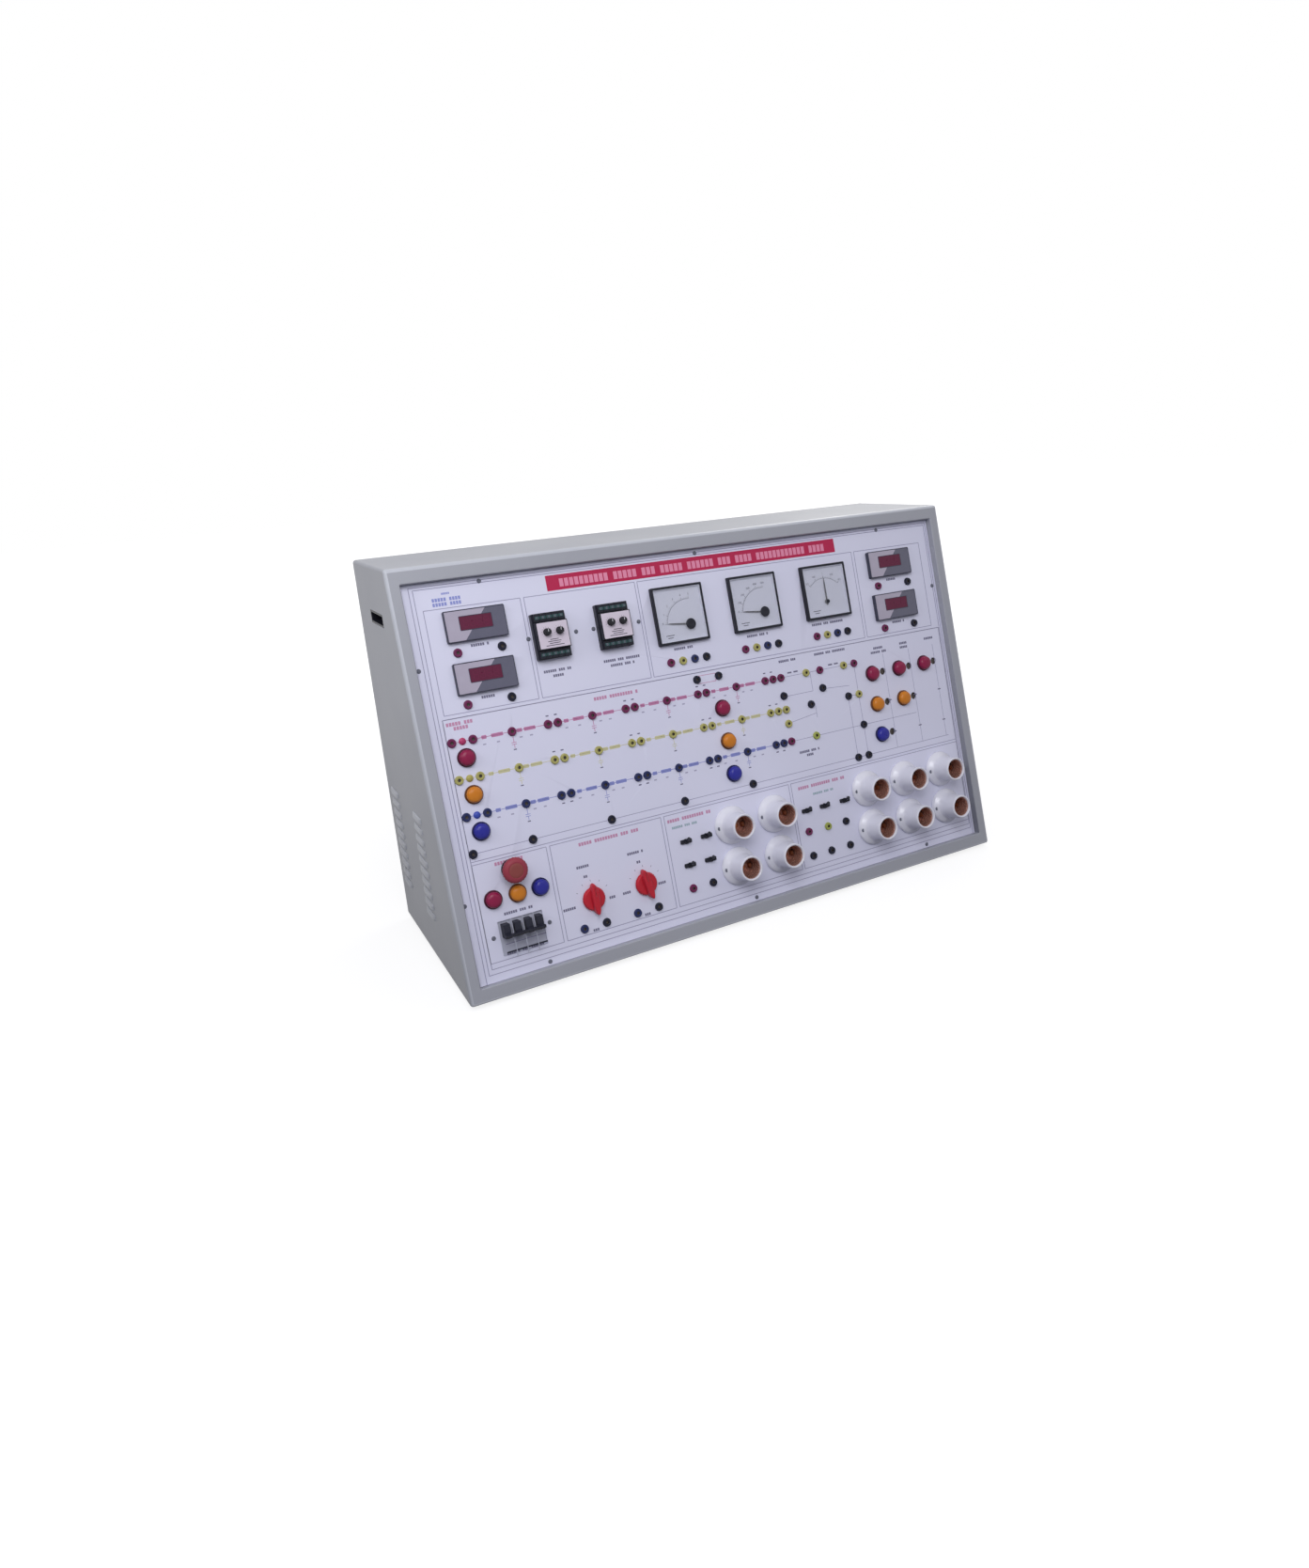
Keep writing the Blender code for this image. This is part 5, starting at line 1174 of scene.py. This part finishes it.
# A pinkish white printed label under a satin film
label_white = grained("satin_label", {"IOR": 1.5}, ("#CFC4D2", "#D6CCD9"), 20, (0.38, 0.5))
terminal_green = moulded("terminal_polyamide_green", "#304C4C", "#385656")
relay_finishes = [black_abs, label_white, terminal_green, blackened, card_ink]
knob_black = moulded("knob_black", "#1C1C22", "#25252B", (0.3, 0.42), 0.6)
pointer_white = ink("pointer_white", "#D8D8DE", "#E0E0E6")
for number in (1, 2):
    node = f"relay_{number}"
    place, case = instrument(node)
    raised(case, RELAY_CASE_MM)
    raised(case, RELAY_NOSE_MM)
    slab(case, (50, 40, 1), 19.8, 20.15, finish=1)
    for row in (-BLOCK_OUT, BLOCK_OUT):
        raised(case, BLOCK_MM, (0, row))
        raised(case, STRIP_MM, (0, row), 2)
        for x in evenly(TERMINALS, TERMINAL_PITCH):
            turned(case, TERMINAL_MM, (x, row), 3, 20)
            slab(case, (2.6, 0.6, 0.2), 15.2, 15.38, (x, row))
        for x in evenly(TERMINALS - 1, TERMINAL_PITCH):
            slab(case, (0.9, 12, 0.3), 13.8, 15.6, (x, row))
    for pivot in SETTING_PLACES_MM:
        for step in evenly(11, 27):
            radial_bar(case, pivot, 7.2, 8.6, 90 + step, 0.4, 20.12, 4)
    for drop, width in ((-7, 14), (-10, 22), (-13, 18), (-16.2, 30)):
        slab(case, (width, 1.1, 0.3), 20.1, 20.25, (0, drop * MM), 4)
    piece(f"{node}_case", case, relay_finishes, replaced=(node,), place=place)
    for side in ("left", "right"):
        knob_node = f"relay_{number}_knob_{side}"
        knob = bmesh.new()
        turned(knob, eased(SETTING_MM, 0.5, 2))
        ribs(knob, 18, 5.05, ((0.45, 2.2), (0.45, 8.0), (0.2, 8.4)))
        slab(knob, (0.9, 4.2, 0.3), 8.9, 9.08, (0, 2.2 * MM), 1)
        piece(f"{knob_node}_cap", knob, [knob_black, pointer_white], body=f"relay_{number}_{side}_knob",
              replaced=(knob_node,),
              place=stand(local_middle(knob_node), SETTING_LIFT))

# The screws that hold the frames of the relays and the breaker stand beside them
screws = bmesh.new()
for u, v in RELAY_SCREWS_MM:
    screw(screws, spot_mm(u, v))
piece("instrument_screws", screws, [blackened])

# Breaker
# A four-pole breaker in pale grey urea moulding. Four black levers stand in windows of their own,
# tied by a bar so that all the poles trip together. They are down here, which is off.
POLES = 4
POLE_PITCH = 17.8
NOSE_TOP = 12.0
NOSE_MM = ((72, 54, 1, -3.4), (72, 54, 1.2, 11.0), (71, 53, 1.2, NOSE_TOP))
WINDOW_MM = (10.8, 22, 0.6)
SLOT_RISE = 12.5 * MM
GROOVE_MM = (0.8, 60, 0.1)
LEVER_MM = ((9, 5, 0.8, 4.5), (9, 4.2, 0.8, 9), (9, 4, 1.2, 15.5), (8, 3.2, 1.2, 16.8), (7, 2.4, 1, 17))
DISC_MM = ((5.9, -4.8), (6.5, -4.3), (6.5, 4.3), (5.9, 4.8))
TIE_MM = ((-32.7, 4.4, 3.9), (-32.2, 5, 4.5), (32.2, 5, 4.5), (32.7, 4.4, 3.9))
TIE_RISE = 13.3 * MM
LEVER_TILT = math.radians(30)
HUB_SINK = 5 * MM

breaker_grey = moulded("urea_grey", "#B4B6C6", "#BCBECC")
# Painted shade: a dark tone for the walls of the lever windows and a shadow band low on the nose
breaker_painted_shade = moulded("urea_painted_shade", "#22232F", "#2B2C38")
lever_black = moulded("lever_black", "#1E1F2A", "#272833", (0.26, 0.38))
place, nose = instrument("breaker_body")
raised(nose, NOSE_MM)
slots = bmesh.new()
for x in evenly(POLES, POLE_PITCH * MM):
    # The window walls take the dark tone: painted shade inside each window
    slab(slots, WINDOW_MM, -1.5, NOSE_TOP + 2, (x, SLOT_RISE), 1)
for x in evenly(POLES - 1, POLE_PITCH * MM):
    slab(slots, GROOVE_MM, NOSE_TOP - 0.8, NOSE_TOP + 2, (x, 0))
body = piece("breaker_case", nose, [breaker_grey, breaker_painted_shade], replaced=("breaker_body",),
             place=place)
slots.transform(place)
cut_away(body, slots)
trim = bmesh.new()
# The dark band low on the nose is a painted shadow under its bottom edge; the grey band is a mark
for height, rise, finish in ((2.6, -19.5, 1), (1.2, -6.5, 2)):
    slab(trim, (66, height, 0.3), NOSE_TOP - 0.3, NOSE_TOP + STROKE_T, (0, rise * MM), finish)
piece("breaker_marks_and_painted_shadow", trim, [breaker_grey, breaker_painted_shade, inks[TEXT]],
      place=place)

levers = bmesh.new()
for at in evenly(POLES, POLE_PITCH):
    turned(levers, [(radius, at + z) for radius, z in DISC_MM], sides=24)
levers.transform(Matrix.Rotation(math.pi / 2, 4, "Y"))
for x in evenly(POLES, POLE_PITCH * MM):
    raised(levers, LEVER_MM, (x, 0))
tie = []
for x, height, depth in TIE_MM:
    loop = rect(height * MM, depth * MM, 1 * MM, x * MM, (0, TIE_RISE))
    tie.append([(along, y, z) for y, z, along in loop])
loft(levers, tie)
hub_place = place @ Matrix.Translation((0, SLOT_RISE, NOSE_TOP * MM - HUB_SINK))
piece("breaker_levers", levers, [lever_black], body="breaker_lever", replaced=("breaker_handle",),
      place=hub_place @ Matrix.Rotation(LEVER_TILT, 4, "X"))

# Emergency stop
# A mushroom head of dull red ABS on a steel plunger. It is pressed in to stop the console and
# twisted to let go, in a black collar that is screwed against the panel.
COLLAR_MM = (
    (10.8, -3.4), (10.8, 0.1), (15, 0.1), (15, 4.8), (13.6, 6), (8.3, 6), (8.1, 5.2), (8.1, -2.0),
)
PLUNGER_MM = (
    (7.0, -16.2), (7.5, -15.7), (7.5, 6.8), (6.6, 7.4), (6.6, 8.6), (7.5, 9.2), (7.5, 17.4), (7.1, 17.7),
)
MUSHROOM_MM = (
    (8, 0), (14.4, 0), (18.8, 2.0), (20, 6.3), (19.2, 9.4), (16.6, 12.2), (12.6, 13.4),
    (12.2, 13.0), (10.6, 13.0),
)
CROWN_MM = ((11.4, 12.2), (11.4, 13.4), (8.2, 14.0), (3, 14.0), (0.8, 14.0))
HEAD_LIFT = 18 * MM

stop_red = moulded("abs_dull_red", "#8E3342", "#97404C", (0.38, 0.5))
stop_brown = moulded("abs_red_brown", "#83413F", "#8B4945", (0.42, 0.54))
head_mark = ink("mark_rose", "#96505A", "#9E5862")
middle = local_middle("stop_head")
place, collar = instrument("stop_body")
turned(collar, eased(COLLAR_MM, 0.6, 2), sides=48)
ribs(collar, 30, 15.0, ((0.6, 0.6), (0.6, 4.2), (0.2, 4.8)))
piece("stop_collar", collar, [black_abs], replaced=("stop_body",), place=place)
plunger = bmesh.new()
turned(plunger, eased(PLUNGER_MM, 0.3, 2), sides=40)
piece("stop_plunger_rod", plunger, [zinc], body="stop_plunger_body", replaced=("stop_plunger",),
      place=stand(middle))
head = bmesh.new()
turned(head, eased(MUSHROOM_MM, 1.4, 3), sides=56)
turned(head, eased(CROWN_MM, 0.5, 3), finish=1, sides=48)
for start in (100, 220, 340):
    arc_band(head, (0, 0), 15.0, 1.2, start, start + 52, 12.4, 2, 12)
ribs(head, 24, 19.5, ((0.3, 2.6), (0.7, 4.2), (0.7, 7.6), (0.3, 9.0)), 8)
piece("stop_mushroom", head, [stop_red, stop_brown, head_mark], body="stop_head_body",
      replaced=("stop_head",), place=stand(middle, HEAD_LIFT))

# Selectors
# Two rotary switches with bright red nylon knobs: a round skirt and a grip bar that runs past it
# at both ends, with a pale line that shows its position and is also a painted highlight on the grip.
SHAFT_MM = ((3.4, -3.4), (3.4, 0.6))
SKIRT_MM = ((3, -2.9), (3, 0.9), (19, 1.0), (19, 3.8), (17, 7), (9, 7.2), (0.8, 7.2))
GRIP_BAR_MM = (
    (50, 13, 2.5), (51.6, 13.4, 6), (51.6, 12.8, 11), (50.8, 11.8, 14), (49, 10, 15.4), (45, 6.8, 16),
)
REST_TURNS = (0, 10)


def grip_loop(length, width, z, points=32):
    """A loop like a lemon seen from above, pointed at both ends."""
    loop = []
    for step in range(points):
        angle = 2 * math.pi * step / points
        across = math.cos(angle)
        along = math.sin(angle)
        x = width / 2 * math.copysign(abs(across) ** 1.15, across)
        y = length / 2 * math.copysign(abs(along) ** 0.9, along)
        loop.append((x * MM, y * MM, z * MM))
    return loop


knob_red = nylon("nylon_bright_red", "#B4202F", "#BE2837")
pointer_line_and_highlight = ink("pointer_rose_and_highlight", "#C8606A", "#D06A73")
board = behind_panel("selector_board")
places = tops("selector_board", SOCKET_TOP)
sockets_on(board, places, [(S_BLUE, S_BLACK)[i % 2] for i in range(len(places))])
middles = [local_middle(f"selector_knob_{number}") for number in (1, 2)]
for middle in middles:
    turned(board, SHAFT_MM, middle, BRASS, 24)
piece("selector_switches", board, socket_finishes, replaced=("selector_board",))
marks = bmesh.new()
for number, (middle, turn) in enumerate(zip(middles, REST_TURNS), 1):
    node = f"selector_knob_{number}"
    knob = bmesh.new()
    turned(knob, eased(SKIRT_MM, 0.8, 3), sides=56)
    loft(knob, [grip_loop(*step) for step in GRIP_BAR_MM])
    ribs(knob, 28, 18.7, ((0.7, 1.4), (0.7, 3.8), (0.2, 4.6)))
    # The pale line: partly a pointer, partly a painted highlight along the grip's top
    slab(knob, (1.6, 17, 0.6), 15.8, 16.0, (0, 13 * MM), 1)
    piece(f"{node}_grip", knob, [knob_red, pointer_line_and_highlight], body=f"selector_{number}", replaced=(node,),
          place=stand(middle, 0, math.radians(turn)))
    for degrees in evenly(5, 30):
        radial_bar(marks, Vector(middle) / MM, 28, 31, 90 + degrees, 0.7, 0.0, 0)
piece("selector_scale", marks, [inks[TEXT]])

# Toggle switches
# Miniature toggles: a black retaining plate, a blackened bush with its nut, and a black bat
# lever that rocks on a ball. All are thrown up here.
TOGGLES = range(1, 8)
RETAINER_MM = ((21, 7, 1.6, 0.1), (21, 7, 1.6, 2.8), (20.2, 6.4, 1.4, 3.3))
BUSH_MM = ((3.9, 3.2), (3.9, 5.0), (3.4, 5.0), (3.4, 4.2), (3.3, 1.8))
NUT_R = 4.5 * MM
NUT_LEVELS_MM = (3.2, 4.4)
BALL_R = 2.8
BAT_MM = ((1.7, 2.6), (1.9, 5), (2.6, 9), (3.0, 11.6), (2.8, 13.2), (1.7, 14.0), (0.4, 14.0))
BALL_RISE = 2.5 * MM
THROW = math.radians(-25)
SWITCH_ROW = 5 * MM


def lever_root(node):
    """Where a toggle's lever comes out of the panel."""
    points = [into_plate @ vert.co for vert in nodes[node].data.vertices]
    foot = min(points, key=lambda point: point.z)
    return local_middle(node)[0], foot.y + 0.4 * MM


bush_black = moulded("black_chromated_brass", "#1B1C24", "#25262F", (0.3, 0.42), 0.5)
board = behind_panel("switch_board")
places = tops("switch_board", SOCKET_TOP)
left = [place for place in places if place[0] < 0]
right = [place for place in places if place[0] > 0]
highest = max(y for x, y in right)
upper = [place for place in right if highest - place[1] < SWITCH_ROW]
lower = [place for place in right if place not in upper]
sockets_on(board, left, [S_RED, S_BLACK])
sockets_on(board, upper, [S_RED, S_GREEN, S_BLACK])
sockets_on(board, lower, [S_BLACK] * 3)
BUSH = len(socket_finishes)
for number in TOGGLES:
    root = lever_root(f"toggle_lever_{number}")
    raised(board, RETAINER_MM, root, BUSH + 1)
    loft(board, [circle(NUT_R, z * MM, root, 6) for z in NUT_LEVELS_MM], BUSH)
    turned(board, eased(BUSH_MM, 0.3, 2), root, BUSH, 28)
piece("toggle_switches", board, socket_finishes + [bush_black, black_abs], replaced=("switch_board",))
ball = [polar((0, 0), BALL_R, degrees) for degrees in range(-75, 46, 15)]
for number in TOGGLES:
    node = f"toggle_lever_{number}"
    lever = bmesh.new()
    turned(lever, ball + list(BAT_MM), sides=24)
    tilted = stand(lever_root(node), BALL_RISE) @ Matrix.Rotation(THROW, 4, "X")
    piece(f"{node}_bat", lever, [lever_black], body=f"toggle_{number}", replaced=(node,),
          place=tilted)

# Lamp holders
# White urea batten holders for lamps: a domed base on the panel, a straight neck and a deep mouth
# with a coppery rolled shell inside, threaded for the lamp cap, and a contact in its floor.
HOLDER_MM = (
    (30.0, 0.2), (33.0, 0.2), (33.0, 3.4), (31.6, 6.0), (28.4, 9.0), (24.6, 13.0), (22.8, 19.0),
    (22.0, 30.0), (21.6, 44.0), (20.8, 46.0), (18.6, 46.0), (17.5, 44.6), (17.5, 40.0), (17.5, 12.4),
)
SLEEVE_TOP_MM = ((17.6, 13.0), (17.6, 42.6), (16.7, 42.9))
SLEEVE_FLOOR_MM = ((16.6, 15.0), (16.0, 14.2), (1.0, 14.2))
THREADS = 7
THREAD_TOP = 41.6
THREAD_PITCH = 3.6
CONTACT_SEAT_MM = ((9.0, 13.9), (9.0, 15.4), (7.6, 16.0), (0.8, 16.0))
CONTACT_MM = ((4.2, 15.8), (4.2, 17.0), (3.0, 17.6), (0.8, 17.6))
CLIP_MM = ((5, 9, 1, 13.9), (5, 9, 1, 19.0), (4, 6, 1, 20.5))
CLIP_OUT = 12 * MM
FIXING_OUT = 27.6 * MM
FIXING_Z = 8.2

holder_white = moulded("urea_white", "#D9D9E3", "#E0E0E9", (0.14, 0.24), 1.6, 0.5)
# Copper of the contacts: warm and fairly bright, worn by lamp caps
copper = grained("lamp_cap_copper", {"Metallic": 1.0}, ("#B07A5C", "#8F5F48"), 5, (0.3, 0.45))
# Rolled copper shell: a brown that catches the light along its threads
rolled = grained("rolled_copper_shell", {"Metallic": 0.5, "Specular IOR Level": 0.6},
                 ("#B48A7C", "#9A7064"), 6, (0.2, 0.34))
sleeve = list(SLEEVE_TOP_MM)
for thread in range(THREADS):
    z = THREAD_TOP - thread * THREAD_PITCH
    sleeve += [(16.9, z), (16.2, z - 0.9), (16.2, z - 1.8), (16.9, z - 2.7)]
holder = bmesh.new()
turned(holder, eased(HOLDER_MM, 1.6, 4), sides=64)
turned(holder, sleeve + list(SLEEVE_FLOOR_MM), finish=1, sides=48)
turned(holder, eased(CONTACT_SEAT_MM, 0.4, 2), finish=1)
turned(holder, CONTACT_MM, finish=2, sides=24)
for side in (-1, 1):
    raised(holder, CLIP_MM, (side * CLIP_OUT, 0), 2)
    screw(holder, (side * FIXING_OUT, 0), FIXING_Z, 3)
for number in range(1, 11):
    node = f"lamp_holder_{number:02d}"
    piece(f"{node}_shell", holder.copy(), [holder_white, rolled, copper, blackened], replaced=(node,),
          place=stand(local_middle(node)))
holder.free()

# Inside the cabinet
# The reactors and capacitors of the line model and the supply transformer stand on the floor
# behind the panel: zinc plated steel, with varnished laminations and windings.
varnish = moulded("varnished_core", "#3A3530", "#4A4038", (0.35, 0.55))
for node, finish, width in (("line_model_chassis", zinc, 0.8), ("supply_transformer", varnish, 1.2)):
    nodes[node].data.materials[0] = finish
    ease_edges(node, width * MM)
